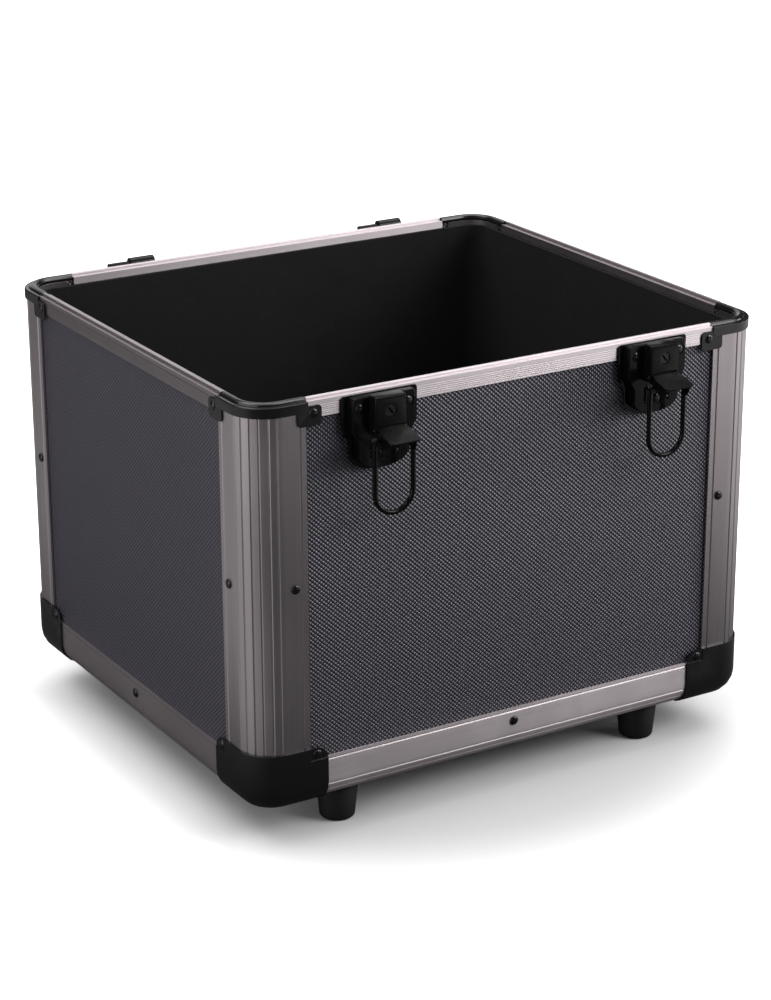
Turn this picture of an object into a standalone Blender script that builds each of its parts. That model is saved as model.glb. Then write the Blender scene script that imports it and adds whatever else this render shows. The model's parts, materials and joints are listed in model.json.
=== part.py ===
"""Record carrying case, shown open and without its lid.

Laminated wall panels and a base panel stand in aluminium profiles, with moulded corners, rubber feet
and two draw latches with key locks at the front. Units are metres, +Z is up, and the front looks
along -Y. The origin is on the floor, under the middle of the case with its latches and hinges.
"""

import math

import bmesh
import bpy
from mathutils import Matrix, Vector

# The case as a whole, between the outer planes of its profiles
CASE_WIDTH = 0.374
CASE_DEPTH = 0.330
PANEL_VISIBLE = 0.2195
FOOT_HEIGHT = 0.025

# Layers of the wall, from the outside in
GAP = 0.0003
SKIN = 0.0015
PANEL_THICK = 0.005
FLANGE = 0.001
LINING_THICK = 0.002
PAD_THICK = 0.003
WEB = 0.0015

# Upright corner profiles
CORNER_RADIUS = 0.0225
CORNER_ARM_REACH = 0.0155
CORNER_FLANGE_REACH = 0.0115
CORNER_STRIP = 0.004
CORNER_GROOVE_DEGREES = (9.5, 22.5, 38, 52, 67.5, 80.5)
CORNER_RIVET_REACH = 0.0068
CORNER_RIVET_DROP = 0.1053
GROOVE_WIDTH = 0.0014
GROOVE_DEPTH = 0.00045

# Base profiles
BASE_RADIUS = 0.015
BASE_ARM = 0.031
BASE_FLANGE_ARM = 0.027
BASE_STRIP = 0.0021
BASE_GROOVE_DEGREES = (38, 60, 78)
BASE_RIVET_DROP = 0.0087

# Rim profiles
RIM_FACE = 0.0105
RIM_GROOVES = 6
RIM_GROOVE_PITCH = 0.00125
RIM_GROOVE_WIDTH = 0.0007
RIM_GROOVE_DEPTH = 0.0002
RIM_LAST_GROOVE_DEPTH = 0.0004
RIM_LIP = 0.0027
LEDGE = 0.0022
TONGUE_WIDTH = 0.0026
TONGUE_HEIGHT = 0.0018
TONGUE_CHAMFER = 0.0004
RIM_FLANGE_DROP = 0.005

# Moulded corners, top and bottom
MOULD_WALL = 0.001
CAP_REACH = 0.0165
CAP_SKIRT = 0.0066
CAP_RING_START = 0.0016
CAP_RING_WIDTH = 0.0056
CAP_RING_HEIGHT = 0.0019
CAP_RING_STEPS = 6
CAP_EDGE = 0.0005
EAR_START_REACH = 0.0093
EAR_END_REACH = 0.0255
EAR_TOP_DROP = 0.0026
EAR_BOTTOM_DROP = 0.015
EAR_ROUND = 0.0025
EAR_RIVET_REACH = 0.0202
EAR_RIVET_DROP = 0.0073
BALL_REACH = 0.0275
BALL_RISE = 0.008
BALL_EAR_ROUND = 0.008
BALL_RIVET_REACH = 0.020
BALL_RIVET_RISE = 0.0035
BALL_POCKET_WIDTH = 0.010
BALL_POCKET_HEIGHT = 0.0075
BALL_POCKET_DEPTH = 0.0004
BALL_BEVEL_STEPS = 5

# Rivets
RIVET_HEAD_RADIUS = 0.003
RIVET_HEAD_HEIGHT = 0.0014
RIVET_SHANK_RADIUS = 0.0015
RIVET_SHORT = 0.0005
RIVET_SIDES = 12
HOLE_SIDES = 8

# Rubber feet, each moulded on a stud that goes up into the base panel
FOOT_TOP_RADIUS = 0.0135
FOOT_BOTTOM_RADIUS = 0.0114
FOOT_EDGE_ROUND = 0.0025
FOOT_INSET_X = 0.071
FOOT_INSET_Y = 0.0258
FOOT_SIDES = 24
STUD_RADIUS = 0.002

# Latch plates; heights are above the upper edge of the front panel, depths are out from the case
LATCH_INSET = 0.0872
PLATE_TOP = 0.0089
PLATE_HALF_WIDTH = 0.0211
PLATE_SHOULDER = -0.0098
PLATE_NECK = -0.0215
PLATE_NECK_HALF_WIDTH = 0.0163
PLATE_CHEEK = -0.0285
PLATE_BOTTOM = -0.0359
PLATE_RISE = 0.0055
PLATE_SHEET = 0.001
PLATE_EDGE = 0.0005
PLATE_CORNER_ROUND = 0.002
PLATE_WALL_SPREAD = 0.001
PLATE_FLANGE_SPREAD = 0.0049
PLATE_TOP_SHARE = 0.15
PLATE_BOTTOM_SHARE = 0.5
RECESS_RADIUS = 0.0042
RECESS_DEPTH = 0.0004
SLOT_CLEARANCE = 0.0004
PLATE_SLOT_TOP = -0.0183
PLATE_SLOT_BOTTOM = -0.0294
LATCH_RIVET_X = 0.0165
LATCH_RIVET_HEIGHT = 0.0025
LATCH_RIVET_LOW = -0.027

# Housing of the lock, with the ears that hold the lever's pivot
HOUSING_HALF_WIDTH = 0.0107
HOUSING_TOP = 0.0102
HOUSING_FACE = 0.0147
HOUSING_FACE_BOTTOM = -0.0079
HOUSING_ROUND = 0.0016
HOUSING_EDGE = 0.0012
HOUSING_WALL = 0.001
EAR_RADIUS = 0.0029

# Key barrel and its cam
BARREL_HEIGHT = 0.001
BARREL_RADIUS = 0.0036
BARREL_RECESS = 0.0006
BARREL_LENGTH = 0.005
BARREL_SIDES = 20
KEYWAY_WIDTH = 0.0012
KEYWAY_LENGTH = 0.0052
KEYWAY_DEPTH = 0.003
KEYWAY_DEGREES = 38
CAM_LENGTH = 0.0117
CAM_WIDTH = 0.007
CAM_THICK = 0.0012

# Lever with its pivot in the housing's ears; it rests half open
PIVOT_OUT = 0.0118
PIVOT_HEIGHT = -0.011
LEVER_REST_DEGREES = 15
LEVER_LENGTH = 0.0206
LEVER_BACK = 0.0014
LEVER_FACE = 0.0028
LEVER_SHEET = 0.0012
LEVER_ROOT_REACH = 0.0042
LEVER_WIDENING = 0.003
LEVER_TIP_HALF_WIDTH = 0.0105
LEVER_TIP_ROUND = 0.0028
CHEEK_OUT = 0.0094
CHEEK_THICK = 0.001
CHEEK_NOSE = 0.003
CHEEK_THROAT = (0.0065, 0.0044)
CHEEK_HEEL = (0.009, 0.0055)
CHEEK_TOE = (0.0156, 0.0076)
CHEEK_END = (0.0176, 0.0055)
CHEEK_REACH = 0.0182
PIN_RADIUS = 0.0011
PIN_HEAD_RADIUS = 0.0018
PIN_HEAD_THICK = 0.0004
PIN_SIDES = 12

# Bail and the pin it hangs on
BAIL_PIN_OUT = 0.0177
BAIL_PIN_HEIGHT = -0.0151
BAIL_PIN_RADIUS = 0.0009
BAIL_PIN_HEAD_RADIUS = 0.0016
BAIL_HALF_WIDTH = 0.0132
BAIL_WIRE_RADIUS = 0.0016
BAIL_DROP = 0.0465
BAIL_BEND_STEPS = 12
BAIL_EYE_RADIUS = 0.0022

# Lift-off hinge halves at the back
LEAF_WIDTH = 0.040
LEAF_THICK = 0.0015
LEAF_DROP = 0.0175
LEAF_ROUND = 0.003
LEAF_RIVET_X = 0.013
LEAF_RIVET_HEIGHT = 0.0045
KNUCKLE_RADIUS = 0.004
KNUCKLE_LENGTH = 0.018
HINGE_PIN_RADIUS = 0.002
HINGE_PIN_LENGTH = 0.016

# How cuts, joints and welds are made
OVERRUN = 0.01
SINK = 0.0002
MERGE = 0.00001
ARC_STEPS = 6
CORNER_STEPS = 8

# Places that follow from the sizes above
PANEL_OUT = SKIN + GAP
PANEL_IN = PANEL_OUT + PANEL_THICK
FLANGE_OUT = PANEL_IN + GAP
FLANGE_IN = FLANGE_OUT + FLANGE
LINING_OUT = FLANGE_IN + GAP
PROUD = GAP + MOULD_WALL
CORNER_ARM = CORNER_RADIUS + CORNER_ARM_REACH
CORNER_FLANGE_ARM = CORNER_RADIUS + CORNER_FLANGE_REACH
CORNER_RIVET_INSET = CORNER_RADIUS + CORNER_RIVET_REACH
CAP_LEG = CORNER_RADIUS + CAP_REACH
EAR_START = CORNER_RADIUS + EAR_START_REACH
EAR_END = CORNER_RADIUS + EAR_END_REACH
EAR_RIVET_INSET = CORNER_RADIUS + EAR_RIVET_REACH
BALL_LEG = CORNER_RADIUS + BALL_REACH
BALL_RIVET_INSET = CORNER_RADIUS + BALL_RIVET_REACH
BASE_TOP = FOOT_HEIGHT + BASE_ARM
PANEL_TOP = BASE_TOP + PANEL_VISIBLE
LEDGE_TOP = PANEL_TOP + RIM_FACE
WALL_TOP = LEDGE_TOP - SKIN - GAP
LATCH_X = CASE_WIDTH / 2 - LATCH_INSET
PLATE_START = GAP + PLATE_SHEET
PLATE_FACE = PLATE_START + PLATE_RISE
LEVER_TIP_OUT = (
    PIVOT_OUT
    + LEVER_LENGTH * math.cos(math.radians(LEVER_REST_DEGREES))
    + LEVER_FACE * math.sin(math.radians(LEVER_REST_DEGREES))
)
HINGE_OUT = GAP + SINK + KNUCKLE_RADIUS
CASE_MIDDLE_Y = (LEVER_TIP_OUT - HINGE_OUT - KNUCKLE_RADIUS) / 2

SIDES = ("front", "right", "back", "left")
CORNERS = ("front_left", "front_right", "back_right", "back_left")
QUARTER = math.pi / 2
# Stands a flat outline up: its X becomes inward, its Y up, and it is drawn out along the wall
ALONG_WALL = Matrix(((0, 0, 1, 0), (1, 0, 0, 0), (0, 1, 0, 0), (0, 0, 0, 1)))
# Stands a flat outline up facing the front: its X stays, its Y is up, its depth goes outward
FACING_WALL = Matrix.Rotation(QUARTER, 4, "X")
# Turns a piece that was made upright so that it lies along the wall
LYING = Matrix.Rotation(QUARTER, 4, "Y")
# Trades the two arms of a corner for each other
OTHER_ARM = Matrix(((0, 1, 0, 0), (1, 0, 0, 0), (0, 0, 1, 0), (0, 0, 0, 1)))


def side_length(index):
    """Length of a wall between the outer planes of its neighbours."""
    return CASE_WIDTH if index % 2 == 0 else CASE_DEPTH


def side_frame(index):
    """Frame at the middle of a wall's outer plane: X along the wall, Y inward, Z up from the floor."""
    outward = side_length(index + 1) / 2
    middle = Matrix.Translation((0, CASE_MIDDLE_Y, 0))
    return middle @ Matrix.Rotation(index * QUARTER, 4, "Z") @ Matrix.Translation((0, -outward, 0))


def corner_frame(index):
    """Frame at the point where two outer planes meet, at the left end of the wall of that number."""
    return side_frame(index) @ Matrix.Translation((-side_length(index) / 2, 0, 0))


def latch_frame(sign):
    """Frame of a latch: X along the front, Y inward, Z up from the front panel's visible top."""
    return side_frame(0) @ Matrix.Translation((sign * LATCH_X, 0, PANEL_TOP))


def hinge_frame(sign):
    """Frame of a hinge at the back, laid out like a latch's."""
    return side_frame(2) @ Matrix.Translation((sign * LATCH_X, 0, PANEL_TOP))


def facing_out(x, out, z):
    """Placement, inside a wall's frame, of a turned piece whose own Z points out of the wall."""
    return Matrix.Translation((x, -out, z)) @ Matrix.Rotation(QUARTER, 4, "X")


def new_collection(name):
    collection = bpy.data.collections.new(name)
    bpy.context.scene.collection.children.link(collection)
    return collection


def make_material(name, colour, roughness, metallic=0.0):
    material = bpy.data.materials.new(name)
    material.use_nodes = True
    shader = material.node_tree.nodes["Principled BSDF"]
    shader.inputs["Base Color"].default_value = (*colour, 1)
    shader.inputs["Roughness"].default_value = roughness
    shader.inputs["Metallic"].default_value = metallic
    material.diffuse_color = (*colour, 1)
    return material


def shade(mesh):
    mesh.shade_smooth()
    mesh.set_sharp_from_angle(angle=math.radians(30))


def place(name, mesh, material, frame=None, parent=None):
    """Adds a piece to the case's collection under its own name and material."""
    shade(mesh)
    if not mesh.materials:
        mesh.materials.append(material)
    piece = bpy.data.objects.new(name, mesh)
    bpy.data.collections["record_case"].objects.link(piece)
    piece.parent = parent
    piece.matrix_basis = frame or Matrix()
    return piece


def cutter(name, mesh, frame=None, parent=None):
    """Adds a shape that only cuts others."""
    tool = bpy.data.objects.new(name, mesh)
    bpy.data.collections["cutters"].objects.link(tool)
    tool.parent = parent
    tool.matrix_basis = frame or Matrix()
    tool.hide_render = True
    tool.display_type = "WIRE"
    return tool


def carve(piece, tool, operation="DIFFERENCE"):
    modifier = piece.modifiers.new(operation.title(), "BOOLEAN")
    modifier.operation = operation
    modifier.solver = "EXACT"
    modifier.object = tool


def from_bmesh(work, name="mesh"):
    mesh = bpy.data.meshes.new(name)
    bmesh.ops.recalc_face_normals(work, faces=work.faces)
    work.to_mesh(mesh)
    work.free()
    return mesh


def joined(meshes_and_frames, name="group"):
    """One mesh that holds copies of others, each under its own frame."""
    work = bmesh.new()
    for mesh, frame in meshes_and_frames:
        start = len(work.verts)
        work.from_mesh(mesh)
        work.verts.ensure_lookup_table()
        bmesh.ops.transform(work, matrix=frame, verts=work.verts[start:])
    return from_bmesh(work, name)


def prism(outlines, start, length, frame=None):
    """Draws flat outlines out along Z; the first is the edge and the others are holes in it."""
    curve = bpy.data.curves.new("outline", "CURVE")
    curve.dimensions = "2D"
    curve.fill_mode = "BOTH"
    curve.extrude = length / 2
    for outline in outlines:
        spline = curve.splines.new("POLY")
        spline.points.add(len(outline) - 1)
        for point, (x, y) in zip(spline.points, outline):
            point.co = (x, y, 0, 1)
        spline.use_cyclic_u = True
    guide = bpy.data.objects.new("outline", curve)
    bpy.context.scene.collection.objects.link(guide)
    evaluated = guide.evaluated_get(bpy.context.evaluated_depsgraph_get())
    mesh = bpy.data.meshes.new_from_object(evaluated)
    bpy.data.objects.remove(guide)
    bpy.data.curves.remove(curve)
    work = bmesh.new()
    work.from_mesh(mesh)
    bpy.data.meshes.remove(mesh)
    bmesh.ops.remove_doubles(work, verts=work.verts, dist=MERGE)
    ends = {face for face in work.faces if len({vert.co.z > 0 for vert in face.verts}) == 1}
    inner = [edge for edge in work.edges if ends.issuperset(edge.link_faces)]
    bmesh.ops.beautify_fill(work, faces=list(ends), edges=inner)
    bmesh.ops.translate(work, verts=work.verts, vec=(0, 0, start + length / 2))
    bmesh.ops.transform(work, matrix=frame or Matrix(), verts=work.verts)
    return from_bmesh(work, "prism")


def box(low, high):
    """Box between two corners."""
    work = bmesh.new()
    bmesh.ops.create_cube(work, size=1)
    low, high = Vector(low), Vector(high)
    size = Matrix.Diagonal((*(high - low), 1))
    bmesh.ops.transform(work, matrix=Matrix.Translation((low + high) / 2) @ size, verts=work.verts)
    return from_bmesh(work, "box")


def bevelled_box(low, high, edge):
    """Box whose edges are all rounded."""
    work = bmesh.new()
    work.from_mesh(box(low, high))
    bmesh.ops.bevel(work, geom=work.edges[:], offset=edge, segments=2, profile=0.5, affect="EDGES")
    return from_bmesh(work, "box")


def rod(radius, low, high, sides):
    """Cylinder along Z between two heights."""
    work = bmesh.new()
    bmesh.ops.create_cone(
        work, cap_ends=True, segments=sides, radius1=radius, radius2=radius, depth=high - low
    )
    bmesh.ops.translate(work, verts=work.verts, vec=(0, 0, (high + low) / 2))
    return from_bmesh(work, "rod")


def turned(profile, sides):
    """Turns a profile of radius and height, top to bottom on its outer side, around Z."""
    work = bmesh.new()
    points = [work.verts.new((radius, 0, height)) for radius, height in profile]
    for one, other in zip(points, points[1:]):
        work.edges.new((one, other))
    mesh = bpy.data.meshes.new("profile")
    work.to_mesh(mesh)
    work.free()
    guide = bpy.data.objects.new("profile", mesh)
    bpy.context.scene.collection.objects.link(guide)
    screw = guide.modifiers.new("Screw", "SCREW")
    screw.steps = sides
    screw.render_steps = sides
    screw.use_merge_vertices = True
    screw.merge_threshold = MERGE
    evaluated = guide.evaluated_get(bpy.context.evaluated_depsgraph_get())
    solid = bpy.data.meshes.new_from_object(evaluated)
    bpy.data.objects.remove(guide)
    bpy.data.meshes.remove(mesh)
    return solid


def arc(centre, radius, start, end, steps=ARC_STEPS):
    """Points on an arc in the plane, from one angle in degrees to another."""
    points = []
    for step in range(steps + 1):
        angle = math.radians(start + (end - start) * step / steps)
        points.append((centre[0] + radius * math.cos(angle), centre[1] + radius * math.sin(angle)))
    return points


def notch(place_at, before, after, depth_offset):
    """Four points of a square groove in an outline."""
    return [
        place_at(before, 0),
        place_at(before, depth_offset),
        place_at(after, depth_offset),
        place_at(after, 0),
    ]


def vee(place_at, before, after, depth_offset):
    """Three points of a V groove in an outline."""
    return [place_at(before, 0), place_at((before + after) / 2, depth_offset), place_at(after, 0)]


def rounded_plate(half_width, low, high, round_low, round_high):
    """Outline of an upright plate with rounded corners, wider values first at the bottom."""
    points = arc((half_width - round_low, low + round_low), round_low, 270, 360)
    points += arc((half_width - round_high, high - round_high), round_high, 0, 90)
    points += arc((round_high - half_width, high - round_high), round_high, 90, 180)
    points += arc((round_low - half_width, low + round_low), round_low, 180, 270)
    return points


def angle_section(radius, arm, flange_arm, groove_degrees, strip):
    """Section of a rounded angle profile with a slot for a panel in each arm, and its hollow."""
    centre = (radius, radius)

    def on_arm_one(along, depth):
        return (along, depth)

    def on_arc(degrees, depth):
        angle = math.radians(degrees)
        reach = radius - depth
        return (radius - reach * math.sin(angle), radius - reach * math.cos(angle))

    def on_arm_two(along, depth):
        return (depth, along)

    half = GROOVE_WIDTH / 2
    half_degrees = math.degrees(half / radius)
    strip_at = arm - strip
    outline = [(arm, 0)]
    outline += vee(on_arm_one, strip_at + half, strip_at - half, GROOVE_DEPTH)
    last = 0
    outline.append(on_arc(last, 0))
    for degrees in groove_degrees:
        outline.append(on_arc((last + degrees) / 2, 0))
        outline += vee(on_arc, degrees - half_degrees, degrees + half_degrees, GROOVE_DEPTH)
        last = degrees
    outline.append(on_arc((last + 90) / 2, 0))
    outline.append(on_arc(90, 0))
    outline += vee(on_arm_two, strip_at - half, strip_at + half, GROOVE_DEPTH)
    outline += [(0, arm), (SKIN, arm), (SKIN, radius + WEB), (FLANGE_OUT, radius + WEB)]
    outline += [(FLANGE_OUT, flange_arm), (FLANGE_IN, flange_arm)]
    outline += arc(centre, radius - FLANGE_IN, 180, 270)
    outline += [(flange_arm, FLANGE_IN), (flange_arm, FLANGE_OUT), (radius + WEB, FLANGE_OUT)]
    outline += [(radius + WEB, SKIN), (arm, SKIN)]
    hollow = arc(centre, radius - SKIN, 180, 270) + arc(centre, radius - FLANGE_OUT, 270, 180)
    return [outline, hollow]


def rim_section():
    """Section of a rim profile: X inward, Y up from the visible top of the panel."""
    outline = [(0, 0)]
    half = RIM_GROOVE_WIDTH / 2

    def on_face(height, depth):
        return (depth, height)

    for number in range(RIM_GROOVES):
        middle = (number + 1) * RIM_GROOVE_PITCH
        depth = RIM_LAST_GROOVE_DEPTH if number == RIM_GROOVES - 1 else RIM_GROOVE_DEPTH
        outline += notch(on_face, middle - half, middle + half, depth)
    top = RIM_FACE + TONGUE_HEIGHT
    inner = LEDGE + TONGUE_WIDTH
    outline += [(0, RIM_FACE), (LEDGE, RIM_FACE), (LEDGE, top - TONGUE_CHAMFER)]
    outline += [(LEDGE + TONGUE_CHAMFER, top), (inner - TONGUE_CHAMFER, top)]
    outline += [(inner, top - TONGUE_CHAMFER), (inner, RIM_FACE), (FLANGE_IN, RIM_FACE)]
    outline += [(FLANGE_IN, RIM_FACE - RIM_FLANGE_DROP), (FLANGE_OUT, RIM_FACE - RIM_FLANGE_DROP)]
    outline += [(FLANGE_OUT, RIM_FACE - SKIN), (SKIN, RIM_FACE - SKIN), (SKIN, 0)]
    return [outline]


def swept_round_corner(section, leg):
    """Band round an outside corner, from a closed section of inward offset and height."""
    work = bmesh.new()
    rings = [[work.verts.new((leg, offset, height)) for offset, height in section]]
    for step in range(CORNER_STEPS + 1):
        angle = math.pi + QUARTER * (1 - step / CORNER_STEPS)
        ring = []
        for offset, height in section:
            reach = CORNER_RADIUS - offset
            x = CORNER_RADIUS + reach * math.cos(angle)
            ring.append(work.verts.new((x, CORNER_RADIUS + reach * math.sin(angle), height)))
        rings.append(ring)
    rings.append([work.verts.new((offset, leg, height)) for offset, height in section])
    for one, other in zip(rings, rings[1:]):
        for number in range(len(section)):
            after = (number + 1) % len(section)
            work.faces.new((one[number], one[after], other[after], other[number]))
    work.faces.new(rings[0])
    work.faces.new(rings[-1])
    return from_bmesh(work, "band")


def dome_points(radius, height, steps=3):
    """Profile of a low dome from its crown down to its rim."""
    points = []
    for step in range(steps + 1):
        angle = QUARTER * step / steps
        points.append((radius * math.sin(angle), height * math.cos(angle)))
    return points


def rivet_mesh(seat):
    """Rivet whose head lies on a face at the given height outside the profiles' outer plane."""
    tip = RIVET_SHORT - seat - PANEL_IN
    profile = dome_points(RIVET_HEAD_RADIUS, RIVET_HEAD_HEIGHT)
    profile += [(RIVET_SHANK_RADIUS, 0), (RIVET_SHANK_RADIUS, tip), (0, tip)]
    return turned(profile, RIVET_SIDES)


def corner_rivet_places():
    """Names and frames of the loose rivets: two through each upright profile, one in each base one."""
    places = []
    for index, side in enumerate(SIDES):
        frame = side_frame(index)
        at = facing_out(0, 0, BASE_TOP - BASE_RIVET_DROP)
        places.append((f"base_rivet_{side}", frame @ at))
        for hand, sign in (("left", -1), ("right", 1)):
            x = sign * (side_length(index) / 2 - CORNER_RIVET_INSET)
            at = facing_out(x, 0, PANEL_TOP - CORNER_RIVET_DROP)
            places.append((f"corner_rivet_{side}_{hand}", frame @ at))
    return places


def fixed_rivet_places():
    """Frames of the rivets that are joined to the caps, ball corners, latch plates and hinges."""
    places = []
    for index in range(len(SIDES)):
        half = side_length(index) / 2
        for sign in (-1, 1):
            cap = facing_out(sign * (half - EAR_RIVET_INSET), 0, LEDGE_TOP - EAR_RIVET_DROP)
            ball = facing_out(sign * (half - BALL_RIVET_INSET), 0, BASE_TOP + BALL_RIVET_RISE)
            places += [side_frame(index) @ cap, side_frame(index) @ ball]
    for sign in (-1, 1):
        for side in (-1, 1):
            at = facing_out(side * LATCH_RIVET_X, 0, LATCH_RIVET_HEIGHT)
            places.append(latch_frame(sign) @ at)
            at = facing_out(side * LEAF_RIVET_X, 0, LEAF_RIVET_HEIGHT)
            places.append(hinge_frame(sign) @ at)
        places.append(latch_frame(sign) @ facing_out(0, 0, LATCH_RIVET_LOW))
    return places


def build_rivets(material):
    """The loose rivets, and one cutter with the holes of all rivets."""
    hole = rod(RIVET_SHANK_RADIUS + GAP, -PANEL_IN - GAP / 2, OVERRUN, HOLE_SIDES)
    rivet = rivet_mesh(0)
    holes = [(hole, frame) for frame in fixed_rivet_places()]
    for name, frame in corner_rivet_places():
        place(name, rivet, material, frame @ Matrix.Translation((0, 0, GAP)))
        holes.append((hole, frame))
    return cutter("rivet_holes", joined(holes))


def build_walls(panel_material, lining_material, rivet_holes):
    """Wall panels in the slots of the profiles, and the strip of lining round their inside."""
    bottom = FOOT_HEIGHT + BASE_RADIUS + WEB + GAP
    for index, side in enumerate(SIDES):
        half = side_length(index) / 2 - CORNER_RADIUS - WEB - GAP
        panel = box((-half, PANEL_OUT, bottom), (half, PANEL_IN, WALL_TOP))
        wall = place(f"{side}_panel", panel, panel_material, side_frame(index))
        carve(wall, rivet_holes)
    outline = inside_outline(LINING_OUT)
    start = FOOT_HEIGHT + BASE_RADIUS
    hollow = inside_outline(LINING_OUT + LINING_THICK)
    height = LEDGE_TOP - RIM_FLANGE_DROP - start
    middle = Matrix.Translation((0, CASE_MIDDLE_Y, 0))
    place("wall_lining", prism([outline, hollow], start, height), lining_material, middle)


def inside_outline(inset):
    """Outline round the inside of the case, at an inset from the outer planes."""
    half = Vector((CASE_WIDTH / 2 - CORNER_RADIUS, CASE_DEPTH / 2 - CORNER_RADIUS))
    radius = CORNER_RADIUS - inset
    points = arc((half.x, half.y), radius, 0, 90)
    points += arc((-half.x, half.y), radius, 90, 180)
    points += arc((-half.x, -half.y), radius, 180, 270)
    points += arc((half.x, -half.y), radius, 270, 360)
    return points


def build_base(panel_material, lining_material, stud_holes):
    """Base panel in the base profiles' lower slots, and the floor pad over their flanges."""
    middle = Matrix.Translation((0, CASE_MIDDLE_Y, FOOT_HEIGHT))
    edge = BASE_RADIUS + WEB + GAP
    half = Vector((CASE_WIDTH / 2 - edge, CASE_DEPTH / 2 - edge, 0))
    panel = box((-half.x, -half.y, PANEL_OUT), (half.x, half.y, PANEL_IN))
    base = place("base_panel", panel, panel_material, middle)
    carve(base, stud_holes)
    pad = prism([inside_outline(BASE_RADIUS)], LINING_OUT, PAD_THICK)
    place("floor_pad", pad, lining_material, middle)


def build_corner_profiles(material, rivet_holes):
    """Four upright profiles, each with its ribs on the rounded outside."""
    section = angle_section(
        CORNER_RADIUS, CORNER_ARM, CORNER_FLANGE_ARM, CORNER_GROOVE_DEGREES, CORNER_STRIP
    )
    bottom = BASE_TOP + GAP
    mesh = prism(section, bottom, WALL_TOP - bottom)
    for index, corner in enumerate(CORNERS):
        post = place(f"corner_profile_{corner}", mesh, material, corner_frame(index))
        carve(post, rivet_holes)


def build_long_profiles(material, rivet_holes, stud_holes):
    """Base and rim profiles; at the bottom the side ones butt against those in front and behind."""
    base = angle_section(BASE_RADIUS, BASE_ARM, BASE_FLANGE_ARM, BASE_GROOVE_DEGREES, BASE_STRIP)
    rim = rim_section()
    for index, side in enumerate(SIDES):
        inset = CORNER_RADIUS + WEB + GAP if index % 2 == 0 else BASE_ARM + GAP
        length = side_length(index) - 2 * inset
        mesh = prism(base, -length / 2, length, ALONG_WALL)
        frame = side_frame(index) @ Matrix.Translation((0, 0, FOOT_HEIGHT))
        profile = place(f"base_profile_{side}", mesh, material, frame)
        carve(profile, rivet_holes)
        if index % 2 == 0:
            carve(profile, stud_holes)
        length = side_length(index) - 2 * (CAP_LEG + GAP)
        mesh = prism(rim, -length / 2, length, ALONG_WALL)
        frame = side_frame(index) @ Matrix.Translation((0, 0, PANEL_TOP))
        carve(place(f"rim_{side}", mesh, material, frame), rivet_holes)


def both_arms(mesh):
    """A shape on the first arm of a corner, and its twin on the second."""
    return joined([(mesh, Matrix()), (mesh, OTHER_ARM)])


def cap_ear():
    """Ear of a top cap on its first outer face."""
    outline = rounded_plate(
        (EAR_END - EAR_START) / 2,
        LEDGE_TOP - EAR_BOTTOM_DROP,
        LEDGE_TOP - EAR_TOP_DROP,
        EAR_ROUND,
        EAR_ROUND,
    )
    middle = Matrix.Translation(((EAR_START + EAR_END) / 2, 0, 0))
    return prism([outline], GAP, MOULD_WALL - SINK, middle @ FACING_WALL)


def cap_section():
    """Section of a top cap's band: its skirt, its flat step and the rounded ring that stands on it."""
    half = CAP_RING_WIDTH / 2
    section = [(-2 * GAP, LEDGE_TOP - CAP_SKIRT), (-PROUD, LEDGE_TOP - CAP_SKIRT)]
    section += [(-PROUD, LEDGE_TOP - CAP_EDGE), (CAP_EDGE - PROUD, LEDGE_TOP)]
    for step in range(CAP_RING_STEPS + 1):
        angle = math.pi * (1 - step / CAP_RING_STEPS)
        along = CAP_RING_START + half + half * math.cos(angle)
        section.append((along, LEDGE_TOP + CAP_RING_HEIGHT * math.sin(angle)))
    section += [(FLANGE_IN, LEDGE_TOP), (FLANGE_IN, LEDGE_TOP - SKIN), (-2 * GAP, LEDGE_TOP - SKIN)]
    return section


def build_top_caps(material):
    """Moulded caps over the tops of the upright profiles, in line with the rim profiles."""
    whole = guide_object(swept_round_corner(cap_section(), CAP_LEG))
    rivet = rivet_mesh(PROUD - SINK)
    seat = PROUD - 2 * SINK
    rivet.transform(facing_out(EAR_RIVET_INSET, seat, LEDGE_TOP - EAR_RIVET_DROP))
    carve(whole, guide_object(both_arms(cap_ear())), "UNION")
    carve(whole, guide_object(both_arms(rivet)), "UNION")
    mesh = baked(whole)
    for index, corner in enumerate(CORNERS):
        place(f"top_cap_{corner}", mesh, material, corner_frame(index))


def guide_object(mesh):
    """A shape that is only used to make another, and is removed with it."""
    guide = bpy.data.objects.new("guide", mesh)
    bpy.context.scene.collection.objects.link(guide)
    return guide


def baked(guide):
    """Mesh of an object with its modifiers applied; the object itself is removed."""
    evaluated = guide.evaluated_get(bpy.context.evaluated_depsgraph_get())
    mesh = bpy.data.meshes.new_from_object(evaluated)
    tools = [modifier.object for modifier in guide.modifiers if modifier.type == "BOOLEAN"]
    bpy.data.objects.remove(guide)
    for tool in tools:
        bpy.data.objects.remove(tool)
    return mesh


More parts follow.
